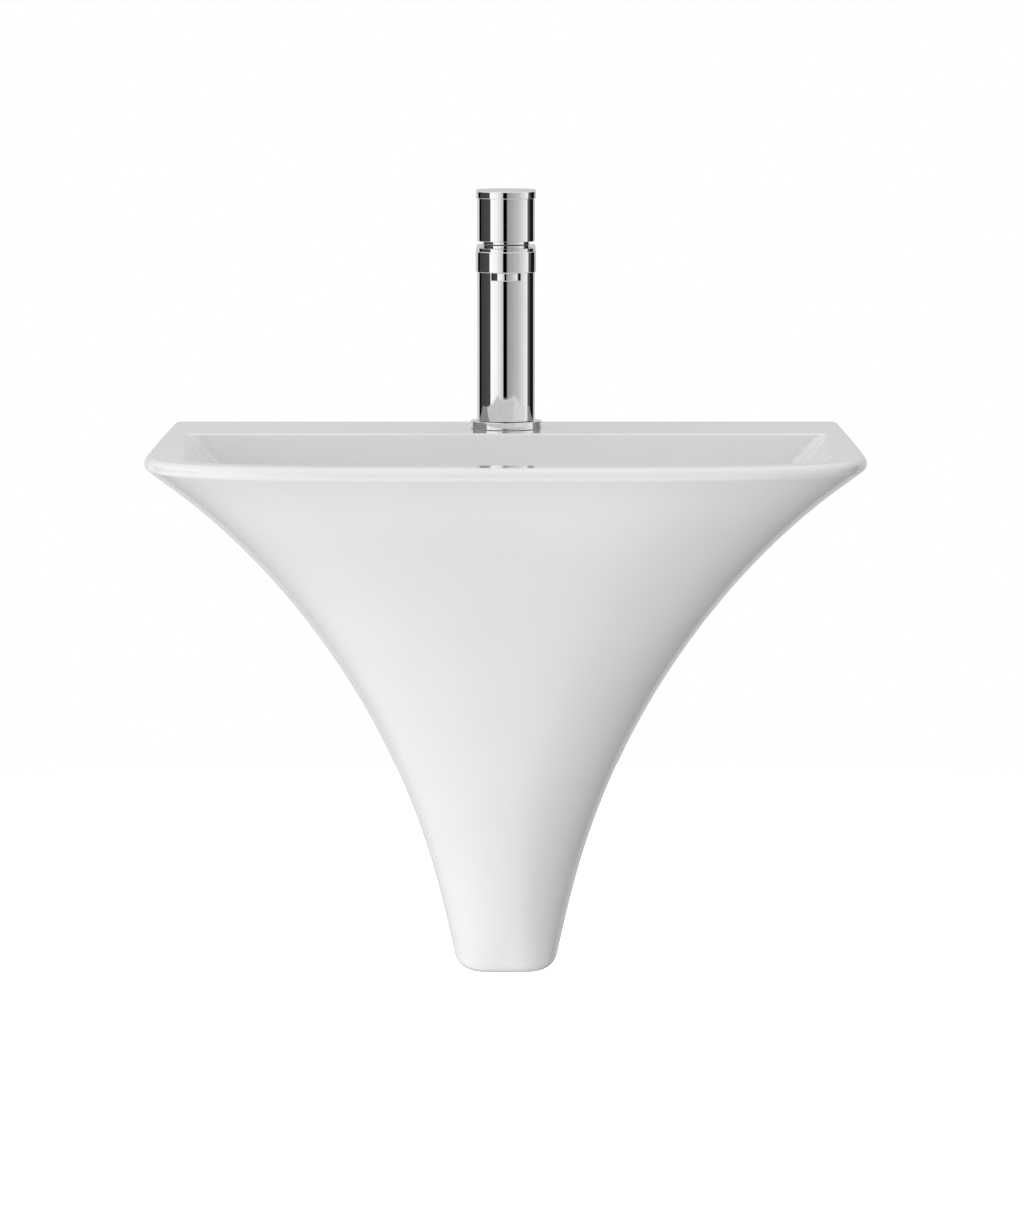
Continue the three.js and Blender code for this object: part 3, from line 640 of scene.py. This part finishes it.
def basin_hollow():
    """The room behind and under the bowl, open to the wall below the bolt band."""

    def slab(name, drops, near, far):
        rings = []
        for drop in sorted(drops, reverse=True):
            half = at_drop(flank, 2, max(drop, FLANK[0][2]))[0] - WALL
            ring = [(half, -near), (half, -far), (-half, -far), (-half, -near)]
            rings.append([(x, y, DECK - drop) for x, y in ring])
        return loft(name, rings)

    floor_drop = FOOT_DROP - WALL
    chamber_front = BOWL[0][3] - DECK_THICKNESS
    chamber_drops = [156, *np.linspace(135, 30, 12), DECK_THICKNESS]
    chamber = slab("chamber", chamber_drops, BAND_THICKNESS, chamber_front)
    mouth = slab("mouth", np.linspace(BAND_DROP, floor_drop, 24), -5, BAND_THICKNESS + 6)
    rings = []
    for drop in np.linspace(floor_drop, 132, 40):
        half_width, depth, _ = at_drop(flank, 2, min(drop, FLANK[-1][2]))
        rings.append(body_ring(half_width - WALL, depth - WALL, drop, BAND_THICKNESS))
    lower = loft("lower", rings)
    rows = [bowl(i / 30) for i in range(30, -1, -1)]
    shell = [bowl_ring(row, WALL, row[0] + WALL) for row in rows]
    shell.append(bowl_ring(rows[-1], WALL, -3))
    lower = cut(lower, loft("bowl_shell", shell))
    return cut(join(chamber, lower, mouth), overflow_duct())


DUCT = {"half": 22, "back": 106, "top": 34, "boss_top": 148, "end": 164, "boss_radius": 43, "skin": 7}


def overflow_duct():
    """The duct cast down the back of the bowl, and the boss round the waste hole."""
    half, back, end = DUCT["half"], DUCT["back"], DUCT["end"]
    low = DECK - end
    boss = rod("boss", DUCT["boss_radius"], low, DECK - DUCT["boss_top"], WASTE_AT, steps=64)
    down = box("duct", (-half, -(back + 30), low), (half, -back, DECK - DUCT["top"]))
    along = box("duct_foot", (-half, WASTE.middle.y, low), (half, -back, DECK - DUCT["boss_top"]))
    return join(boss, down, along)


def overflow_channel():
    """The way for the overflow's water inside the duct."""
    half, near = DUCT["half"] - DUCT["skin"], DUCT["back"] + DUCT["skin"]
    low = DECK - DUCT["end"] + DUCT["skin"] - 3
    down = box("channel", (-half, -(near + 11), low), (half, -near, DECK - DUCT["top"] - DUCT["skin"]))
    along = box("channel_foot", (-half, WASTE.middle.y + 10, low), (half, -near, low + 9))
    return join(down, along)


def make_basin():
    basin, hollow = basin_outside(), basin_hollow()
    for solid in (basin, hollow):
        solid.data.materials.clear()
        solid.data.materials.append(GLAZE)
        solid.data.materials.append(BISQUE)
    hollow.data.polygons.foreach_set("material_index", [1] * len(hollow.data.polygons))
    ring = Span("overflow_ring")
    bolt = Span("wall_bolt_right")
    seat_radius, floor_drop = 34.5, 142
    waste_hole, tap_hole, overflow_hole, bolt_hole = 23, 17.5, 11, 9  # radii
    holes = [
        rod("seat", seat_radius, DECK - floor_drop, DECK - floor_drop + 22, WASTE_AT),
        rod("waste_hole", waste_hole, DECK - 176, DECK - 130, WASTE_AT),
        rod("tap_hole", tap_hole, DECK - 20, DECK + 5, TAP_AT, steps=48),
        rod("overflow_hole", overflow_hole, 110, 150, (0, 0, ring.middle.z), "y", steps=48),
    ]
    for side in (-1, 1):
        spot = (side * bolt.middle.x, 0, bolt.middle.z)
        holes.append(rod("bolt_hole", bolt_hole, -4, 22, spot, "y", steps=40))
    cut(basin, hollow, overflow_channel(), *holes)
    for face in basin.data.polygons:
        if face.center.y > -0.1 * MM:
            face.material_index = 1
    stands_for(basin, "basin_body", [GLAZE, BISQUE])


make_basin()


# ---- Overflow, waste and plug -------------------------------------------------------------------

# Heights in these sections are above the deck.
WASTE_DECK = (0, WASTE.middle.y, DECK)
BORE, TUBE, FLANGE = 17.3, 20.9, 32.5  # radii of the waste
SEAT, BOSS_END, TAIL_END = -140.2, -164, -218


def make_overflow_ring():
    outline = [(8, -9), (9.2, -9), (9.2, 0), (15.5, 0), (15.2, 1.2), (13.6, 2.2), (9.6, 2.4), (8, 1)]
    ring = turned("overflow_trim", outline, edge=0.5)
    drop, tilt = 50, math.radians(8.4)
    back_wall = at_drop(bowl, 0, drop)[3]
    lean = Matrix.Rotation(TURN - tilt, 4, "X")
    spot = Matrix.Translation(Vector((0, -(back_wall + 0.3), DECK - drop)) * MM)
    ring.data.transform(spot @ lean)
    stands_for(ring, "overflow_ring")


def make_waste():
    tail = threaded("waste_tail", TUBE, TAIL_END, BOSS_END + 18, 2.31, WASTE_DECK, steps=72)
    flange = [(BORE, BOSS_END + 16), (TUBE, BOSS_END + 16), (TUBE, SEAT), (FLANGE, SEAT)]
    flange += [(FLANGE, SEAT + 0.9), (FLANGE - 2.6, SEAT + 2.1), (BORE + 5, SEAT + 2), (BORE, SEAT - 4)]
    body = join(turned("waste", flange, WASTE_DECK, edge=0.5), tail)
    cut(body, rod("bore", BORE, TAIL_END - 1, BOSS_END + 17, WASTE_DECK))
    middle = WASTE.middle.y
    low, high = DECK + BOSS_END + 4.5, DECK + BOSS_END + 13.5
    cut(body, box("slot", (-30, middle - 8, low), (30, middle + 8, high)))
    cut(body, box("slot", (-8, middle - 30, low), (8, middle + 30, high)))
    stands_for(body, "waste_body")
    seal = [(TUBE + 0.6, BOSS_END - 7), (30, BOSS_END - 7), (32, BOSS_END - 4)]
    seal += [(32, BOSS_END - 0.3), (TUBE + 0.6, BOSS_END - 0.3)]
    stands_for(turned("lower_seal", seal, WASTE_DECK, edge=0.6), "waste_lower_seal")
    lock_nut = nut("lock_nut", 56, TUBE + 0.6, BOSS_END - 17, BOSS_END - 7.3, WASTE_DECK)
    stands_for(lock_nut, "waste_lock_nut")


def make_plug():
    low = SEAT + 2.6
    outline = [(0, low), (22, low), (30.8, low + 0.4), (31.2, low + 1.4)]
    for i in range(13):
        turn = TURN * i / 12
        outline.append((31 * math.cos(turn) ** 0.8, low + 1.6 + 4 * math.sin(turn)))
    outline[-1] = (0, low + 5.6)
    stands_for(turned("plug", outline, WASTE_DECK, edge=0, steps=128), "plug_cap")
    spindle = rod("spindle", 4, BOSS_END - 17, low - 0.3, WASTE_DECK, edge=0.5, steps=40)
    stands_for(spindle, "plug_spindle")


# ---- Trap ---------------------------------------------------------------------------------------

TRAP = Span("trap_cup")
TRAP_DECK = (0, TRAP.middle.y, DECK)
LEVEL = -252  # the axis of its pipes
BOTTLE, PIPE = 30, 16  # radii
SHELL_LOW, SHELL_TOP = LEVEL - 52, LEVEL + 26
ELBOW_END = TRAP.depth + BOTTLE + 8  # where the elbow enters the bottle's inlet


def laid(name, radius, near, far):
    """A rod along the trap's pipes between two depths."""
    return rod(name, radius, near, far, (0, 0, DECK + LEVEL), "y", 0, 72)


def make_elbow():
    top, bend = TAIL_END - 2.6, 26
    path = [(WASTE.depth, top + (LEVEL + bend - top) * i / 4) for i in range(4)]
    for i in range(25):
        t = i / 24
        out = WASTE.depth - bend * t**2
        path.append((out, LEVEL + bend * (1 - t) ** 2))
    path += [(path[-1][0] + (ELBOW_END - path[-1][0]) * i / 4, LEVEL) for i in range(1, 5)]
    path = [(depth, DECK + height) for depth, height in path]
    collar = rod("collar", 20.6, TAIL_END - 6.6, top, WASTE_DECK)
    outside = join(swept("elbow", path, PIPE + 2), collar)
    first, last = path[0], path[-1]
    inside = [(first[0], first[1] + 2), *path[1:-1], (last[0] - 2, last[1])]
    stands_for(cut(outside, swept("bore", inside, PIPE - 0.5)), "trap_elbow")


def make_bottle():
    shell = [(0, SHELL_LOW), (BOTTLE, SHELL_LOW), (BOTTLE, SHELL_TOP - 8), (22, SHELL_TOP), (0, SHELL_TOP)]
    body = turned("bottle", shell, TRAP_DECK, edge=5)
    axis = TRAP.depth
    inlet = laid("inlet", PIPE + 5, axis + 8, axis + 43)
    join(body, inlet, laid("outlet", PIPE + 3.5, axis - 41, axis - 20))
    cut(body, rod("room", BOTTLE - 2.8, SHELL_LOW - 1, SHELL_TOP - 9, TRAP_DECK))
    dip = rod("dip", 16, LEVEL - 72, SHELL_TOP - 6, TRAP_DECK)
    join(body, dip, laid("front", PIPE, axis + 10, axis + 29))
    ways = [
        rod("dip_bore", 13.5, LEVEL - 73, LEVEL + 12, TRAP_DECK),
        laid("inlet_seat", PIPE + 2.3, axis + 26, axis + 44),
        laid("inlet_throat", 12.5, axis, axis + 44),
        laid("outlet_seat", PIPE + 0.3, axis - 42, axis - 24),
        laid("outlet_throat", 12.5, axis - 42, axis - 20),
    ]
    stands_for(cut(body, *ways), "trap_body")


def make_cup():
    top, low, outer = SHELL_LOW + 10, SHELL_LOW - 38, BOTTLE + 2.8
    outline = [(0, low), (BOTTLE - 8, low), (outer, low + 10), (outer, top), (BOTTLE + 0.3, top)]
    outline += [(BOTTLE + 0.3, SHELL_LOW - 3), (BOTTLE - 3, SHELL_LOW - 3), (BOTTLE - 3, low + 10)]
    outline += [(BOTTLE - 9, low + 2.6), (0, low + 2.6)]
    stands_for(turned("cup", outline, TRAP_DECK, "z", 1, 240, (20, 1.4, BOTTLE + 0.8)), "trap_cup")


def make_trap_nuts():
    end = TAIL_END
    slip = [(PIPE + 3, end - 12), (26, end - 12), (27, end - 10), (27, end + 12), (21.5, end + 12)]
    slip += [(21.5, end - 7), (PIPE + 3, end - 7)]
    flutes = (20, 1.3, 24)
    stands_for(turned("inlet_nut", slip, WASTE_DECK, "z", 0.8, 240, flutes), "trap_inlet_nut")
    pipes = (0, 0, DECK + LEVEL)
    for name, node, outer, inner, near, far in (
        ("bottle_nut", "trap_body_nut", PIPE + 9, PIPE + 5.6, ELBOW_END - 7, ELBOW_END + 4),
        ("outlet_nut", "trap_outlet_nut", PIPE + 7.5, PIPE + 4, 37, 47),
    ):
        outline = [(inner, near), (outer, near), (outer, far), (inner, far)]
        grip = (18, 1.1, outer - 2)
        stands_for(turned(name, outline, pipes, "y", 0.8, 216, grip), node)


def make_outlet():
    pipes = (0, 0, DECK + LEVEL)
    stands_for(tube("outlet_pipe", PIPE, PIPE - 2, -45, 53, pipes, "y", 0.6), "trap_outlet_pipe")
    outline = [(PIPE + 0.3, 0.3), (34, 0.3)]
    for i in range(11):
        turn = TURN * i / 10
        outline.append((18 + 16 * math.cos(turn), 1.2 + 7.8 * math.sin(turn) ** 1.4))
    outline.append((PIPE + 0.3, 9))
    stands_for(turned("rosette", outline, pipes, "y", 0, 128), "wall_rosette")


# ---- Wall bolts ---------------------------------------------------------------------------------


def make_wall_bolts():
    for side in ("left", "right"):
        bolt = Span("wall_bolt_" + side)
        spot = (bolt.middle.x, 0, bolt.middle.z)
        stands_for(threaded("bolt_" + side, 5, -60, 40, 1.5, spot, "y"), "wall_bolt_" + side)
        washer = tube("washer_" + side, 14, 5.3, 16.8, 18.8, spot, "y", 0.4)
        stands_for(washer, "bolt_washer_" + side)
        stands_for(nut("nut_" + side, 17, 5.3, 19.1, 27, spot, "y"), "bolt_nut_" + side)
        sleeve = [(5.3, 0.3), (8.7, 0.3), (8.7, 14.3), (15, 14.3), (15, 16.5), (5.3, 16.5)]
        stands_for(turned("sleeve_" + side, sleeve, spot, "y", 0.5), "bolt_sleeve_" + side)


# ---- Tap ----------------------------------------------------------------------------------------

TAP_DECK = (0, COLUMN.middle.y, DECK)
STUD_DECK = (0, COLUMN.middle.y + 9, DECK)
COLUMN_RADIUS, COLUMN_FOOT = COLUMN.radius, 6.7
BLOCK_LOW, BLOCK_TOP, BLOCK_RADIUS, BLOCK_REACH = 134, 150.5, 24, 145.7
HANDLE_LOW, HANDLE_TOP, LEVER_TOP, LEVER_RADIUS, LEVER_REACH = 153.2, 189.7, 195.5, 24.2, 70.4
OUTLET_OUT = BLOCK_REACH - BLOCK_RADIUS  # from the tap's axis to the aerator's
OUTLET_DECK = (0, COLUMN.middle.y - OUTLET_OUT, DECK)


def stadium(radius, reach):
    """An outline with a round back on the tap's axis and a round tip, as a function of its inset."""
    steps, tip = 64, reach - radius

    def outline(inset):
        points = []
        for i in range(2 * steps + 2):
            front = i > steps
            angle = math.pi * (i - front) / steps
            out = radius - inset
            y = COLUMN.middle.y + out * math.sin(angle) - (tip if front else 0)
            points.append((out * math.cos(angle), y))
        return points

    return outline


def on_deck(name, outline, low, high, edge):
    return raised(name, stadium(*outline), DECK + low, DECK + high, edge)


def pin(name, radius, low, high, x, out):
    """A rod beside the tap's axis, towards the user by "out"."""
    return rod(name, radius, low, high, (x, COLUMN.middle.y - out, DECK), "z", 0, 48)


def make_tap_foot():
    seal = tube("base_seal", 28.1, 18.5, 0.3, 1.4, TAP_DECK, edge=0.2)
    stands_for(seal, "tap_base_seal")
    outline = [(18, 1.7), (28.5, 1.7), (28.5, 0.3), (29.3, 0.3), (29.3, 6.4), (18, 6.4)]
    stands_for(turned("base_flange", outline, TAP_DECK, edge=0.55, steps=144), "tap_base_flange")
    top = BLOCK_LOW - 0.3
    column = tube("column", COLUMN_RADIUS, 21.5, COLUMN_FOOT, top, TAP_DECK, edge=0.35, steps=144)
    join(column, rod("column_floor", 22.5, COLUMN_FOOT, COLUMN_FOOT + 8, TAP_DECK))
    holes = [pin("hole", 5.8, 5, 16, side * 8.5, 5) for side in (-1, 1)]
    stands_for(cut(column, *holes, pin("hole", 4.3, 5, 16, 0, -9)), "tap_column")


def make_clamp():
    for side, node in ((-1, "hot_inlet_tail"), (1, "cold_inlet_tail")):
        spot = (side * 8.5, COLUMN.middle.y - 5, DECK)
        tail = join(rod("tail", 5.5, -30, 12.4, spot), threaded("tail_end", 5.5, -46, -28, 1, spot))
        stands_for(cut(tail, rod("bore", 3.2, -47, 13, spot, edge=0)), node)
    stands_for(threaded("stud", 4, -58, 12.4, 1.25, STUD_DECK), "clamp_stud")
    y = STUD_DECK[1]
    for name, node, low, high in (
        ("gasket", "clamp_gasket", -17.3, -14.3),
        ("plate", "clamp_plate", -19.8, -17.6),
    ):
        horseshoe = tube(name, 22, 4.3, low, high, STUD_DECK, edge=0.4)
        slot = box("slot", (-15, y - 50, DECK + low - 1), (15, y - 8, DECK + high + 1))
        stands_for(cut(horseshoe, slot), node)
    stands_for(nut("stud_nut", 13, 4.3, -31, -20.1, STUD_DECK), "clamp_nut")


def make_spout():
    block = on_deck("spout", (BLOCK_RADIUS, BLOCK_REACH), BLOCK_LOW, BLOCK_TOP, 0.6)
    join(block, rod("barrel", 21, 92, BLOCK_LOW + 1, TAP_DECK))
    y = COLUMN.middle.y
    waterway = box("waterway", (-9, y - OUTLET_OUT, DECK + 138.5), (9, y, DECK + 144.5))
    ways = [
        rod("room", 17.8, 96, BLOCK_TOP + 1, TAP_DECK, edge=0),
        rod("ring_seat", 18.8, 136, BLOCK_TOP + 1, TAP_DECK, edge=0),
        rod("outlet", 10.6, BLOCK_LOW - 1, 144.5, OUTLET_DECK, edge=0),
        *[pin("feed", 3, 90, 98, side * 8.5, 5) for side in (-1, 1)],
    ]
    stands_for(cut(block, waterway, *ways), "tap_spout")


def make_aerator():
    low, top = 127, BLOCK_LOW - 0.3
    outline = [(9.4, low), (12.4, low), (12.4, top), (10.3, top), (10.3, top + 4.3), (9.4, top + 4.3)]
    stands_for(turned("aerator", outline, OUTLET_DECK, edge=0.8), "aerator_housing")
    insert = rod("aerator_grid", 9, low + 0.8, BLOCK_LOW + 5, OUTLET_DECK, edge=0.4)
    pitch, hole_radius, grid_radius = 2.5, 0.95, 7.6
    holes = []
    for row in range(-4, 5):
        for column in range(-4, 5):
            x, y = pitch * (column + row / 2), pitch * row * math.sqrt(3) / 2
            if math.hypot(x, y) < grid_radius:
                spot = (x, OUTLET_DECK[1] + y, DECK)
                holes.append(rod("hole", hole_radius, low, low + 4, spot, edge=0, steps=6))
    stands_for(cut(insert, *holes), "aerator_insert")


def make_neck():
    low = BLOCK_TOP + 0.3
    outline = [(12.5, low), (19.3, low), (19.3, 156.2), (16.3, 157.7), (12.5, 157.7)]
    stands_for(turned("neck", outline, TAP_DECK, edge=0.3, steps=144), "neck_collar")


def make_handle():
    shell = rod("handle", COLUMN_RADIUS, HANDLE_LOW, HANDLE_TOP - 0.3, TAP_DECK, edge=0.45, steps=144)
    screw = (0, 0, DECK + HANDLE_LOW + 17)
    axis = COLUMN.depth
    ways = [
        rod("skirt_room", 20.3, HANDLE_LOW - 1, HANDLE_LOW + 5.3, TAP_DECK, edge=0),
        rod("stem_room", 5.3, HANDLE_LOW, HANDLE_LOW + 26, TAP_DECK, edge=0),
        rod("spigot_room", 8.3, HANDLE_TOP - 6, HANDLE_TOP + 1, TAP_DECK, edge=0),
        rod("screw_hole", 3.3, axis - 24.5, axis - 3, screw, "y", 0, 40),
    ]
    stands_for(cut(shell, *ways), "handle_body")
    plate = on_deck("lever", (LEVER_RADIUS, LEVER_REACH), HANDLE_TOP, LEVER_TOP, 0.6)
    join(plate, rod("spigot", 8, HANDLE_TOP - 5.5, HANDLE_TOP + 1, TAP_DECK, edge=0))
    stands_for(plate, "lever_plate")
    cap = rod("screw_cap", 3, axis - 23.1, axis - 19, screw, "y", 0.5, 40)
    stands_for(cap, "grub_screw_cap")


make_overflow_ring()
make_waste()
make_plug()
make_elbow()
make_bottle()
make_cup()
make_trap_nuts()
make_outlet()
make_wall_bolts()
make_tap_foot()
make_clamp()
make_spout()
make_aerator()
make_neck()
make_handle()


# ---- Camera, floor and light --------------------------------------------------------------------

CAMERA_FROM_WALL = 4531.7
CAMERA_ABOVE_DECK = 348
CAMERA_RIGHT = 4.9
CAMERA_DOWN = math.radians(6.43)
CAMERA_LENS = 159.4
FLOOR_BELOW_DECK, FLOOR_RADIUS = 850, 4000


def make_camera():
    data = bpy.data.cameras.new("camera")
    data.lens, data.sensor_width = CAMERA_LENS, 36
    data.clip_end = 100
    camera = bpy.data.objects.new("camera", data)
    collection.objects.link(camera)
    camera.location = Vector((CAMERA_RIGHT, -CAMERA_FROM_WALL, DECK + CAMERA_ABOVE_DECK)) * MM
    camera.rotation_euler = (TURN - CAMERA_DOWN, 0, 0)
    bpy.context.scene.camera = camera


def make_floor():
    floor_z = DECK - FLOOR_BELOW_DECK
    floor = rod("floor", FLOOR_RADIUS, floor_z - 20, floor_z, edge=0)
    made = Nodes("pale_floor", Roughness=0.6, Emission_Strength=1.0, Emission_Color=(1, 1, 1, 1))
    made.colour(made.noise(3, 4), grey(0.86), grey(0.9))
    floor.data.materials.append(made.material)
    floor.visible_diffuse = floor.visible_glossy = floor.visible_shadow = False


# The room round the basin at eye level, as polished chrome shows it: softboxes, dark screens and the
# walls between them. Each runs from one azimuth to another and has a brightness at each end. The
# azimuth is 0 towards the camera and positive to the right.
ROOM = [
    (-180, -138, 0.62, 0.76),
    (-133, -120, 0.0, 0.0),
    (-117, -66, 0.052, 0.08),
    (-64, -38, 1.2, 1.09),
    (-38, -12, 1.09, 0.67),
    (-10, 3, 0.0, 0.0),
    (6, 50, 0.37, 0.6),
    (50, 94, 0.6, 1.04),
    (98, 112, 0.14, 0.07),
    (115, 139, 0.01, 0.0),
    (143, 180, 0.5, 0.62),
]
BRIGHTEST = 1.25
ROOM_MIDDLE, ROOM_REACH, ROOM_FADE = -0.06, 0.36, 0.12  # sines of elevations

# How the soft light changes with the direction that it comes from: towards the left, the front, the
# zenith and both poles.
SOFT_LEVEL, SOFT_LEAST = 0.84, 0.2
SOFT_MOST, SOFT_MOST_FALL = 1.11, 0.42  # the most at the sides, and its fall towards the back
SOFT_LEFT, SOFT_FRONT, SOFT_UP = 0.22, 0.11, 0.27
SOFT_LOW_LEFT, SOFT_LOW_FRONT = 1.7, 1.0  # more where it comes from below
SOFT_POLES = 0.26
SOFT_BEHIND, SOFT_BEHIND_RIGHT = 0.44, 0.55  # less from behind, and least on the right


def make_world():
    """White to the camera. It lights the basin evenly from all round, more from the left than from
    the right, and mirrors show the room at eye level."""
    world = bpy.data.worlds.new("studio")
    bpy.context.scene.world = world
    world.use_nodes = True
    made = Graph(world.node_tree)
    maths = made.maths
    across = made.add("ShaderNodeSeparateXYZ")
    made.link(made.add("ShaderNodeTexCoord").outputs["Generated"], across.inputs["Vector"])
    right, back, up = across.outputs
    left_share = maths("MULTIPLY_ADD", maths("MINIMUM", up, 0.0), SOFT_LOW_LEFT, -SOFT_LEFT)
    front_share = maths("MULTIPLY_ADD", up, SOFT_LOW_FRONT, -SOFT_FRONT)
    soft = maths("MULTIPLY_ADD", right, left_share, SOFT_LEVEL)
    soft = maths("MULTIPLY_ADD", back, front_share, soft)
    soft = maths("MULTIPLY_ADD", up, maths("MULTIPLY_ADD", up, SOFT_POLES, SOFT_UP), soft)
    behind_share = maths("MULTIPLY_ADD", right, -SOFT_BEHIND_RIGHT, -SOFT_BEHIND)
    soft = maths("MULTIPLY_ADD", maths("MAXIMUM", back, 0.0), behind_share, soft)
    most = maths("MULTIPLY_ADD", back, -SOFT_MOST_FALL, SOFT_MOST)
    soft = maths("MINIMUM", maths("MAXIMUM", soft, SOFT_LEAST), most)
    azimuth = maths("ARCTAN2", right, maths("MULTIPLY", back, -1.0))
    ramp = made.add("ShaderNodeValToRGB")
    made.link(maths("MULTIPLY_ADD", azimuth, 0.5 / math.pi, 0.5), ramp.inputs["Fac"])
    stops = ramp.color_ramp.elements
    stops.remove(stops[1])
    for start, end, first, last in ROOM:
        for degrees, level in ((start, first), (end, last)):
            stop = stops[0] if degrees == -180 else stops.new(0.5 + degrees / 360)
            stop.position = 0.5 + degrees / 360
            stop.color = (*grey(level / BRIGHTEST), 1)
    room = maths("MULTIPLY", ramp.outputs["Color"], BRIGHTEST)
    off_level = maths("ABSOLUTE", maths("SUBTRACT", up, ROOM_MIDDLE))
    at_level = maths("DIVIDE", maths("SUBTRACT", ROOM_REACH, off_level), ROOM_FADE)
    at_level = maths("MINIMUM", maths("MAXIMUM", at_level, 0.0), 1.0)
    ray = made.add("ShaderNodeLightPath").outputs
    share = maths("MULTIPLY", at_level, ray["Is Glossy Ray"])
    seen = maths("MULTIPLY_ADD", share, maths("SUBTRACT", room, soft), soft)
    white = maths("MULTIPLY_ADD", ray["Is Camera Ray"], maths("SUBTRACT", 1.0, seen), seen)
    made.link(white, world.node_tree.nodes["Background"].inputs["Strength"])
    world.node_tree.nodes["Background"].inputs["Color"].default_value = (1, 1, 1, 1)


# A soft panel in front of the basin, to its left and above it, that mirrors don't show.
KEY_AZIMUTH, KEY_ELEVATION = math.radians(-50), math.radians(35)
KEY_DISTANCE, KEY_SIZE, KEY_POWER = 3.2, 1.6, 7  # metres and watts


def make_key_light():
    data = bpy.data.lights.new("key", "AREA")
    data.size, data.energy = KEY_SIZE, KEY_POWER
    lamp = bpy.data.objects.new("key", data)
    collection.objects.link(lamp)
    level = math.cos(KEY_ELEVATION)
    right, front = math.sin(KEY_AZIMUTH) * level, math.cos(KEY_AZIMUTH) * level
    out = Vector((right, -front, math.sin(KEY_ELEVATION)))
    lamp.location = out * KEY_DISTANCE
    lamp.rotation_euler = out.to_track_quat("Z", "Y").to_euler()
    lamp.visible_glossy = False


make_camera()
make_floor()
make_world()
make_key_light()
bpy.context.scene.view_settings.view_transform = "Standard"

for name, node in frame["nodes"].items():
    if not node.hide_render:
        for held in node.material_slots:
            held.material = SLOT_MATERIAL[SLOT_OF[name]]
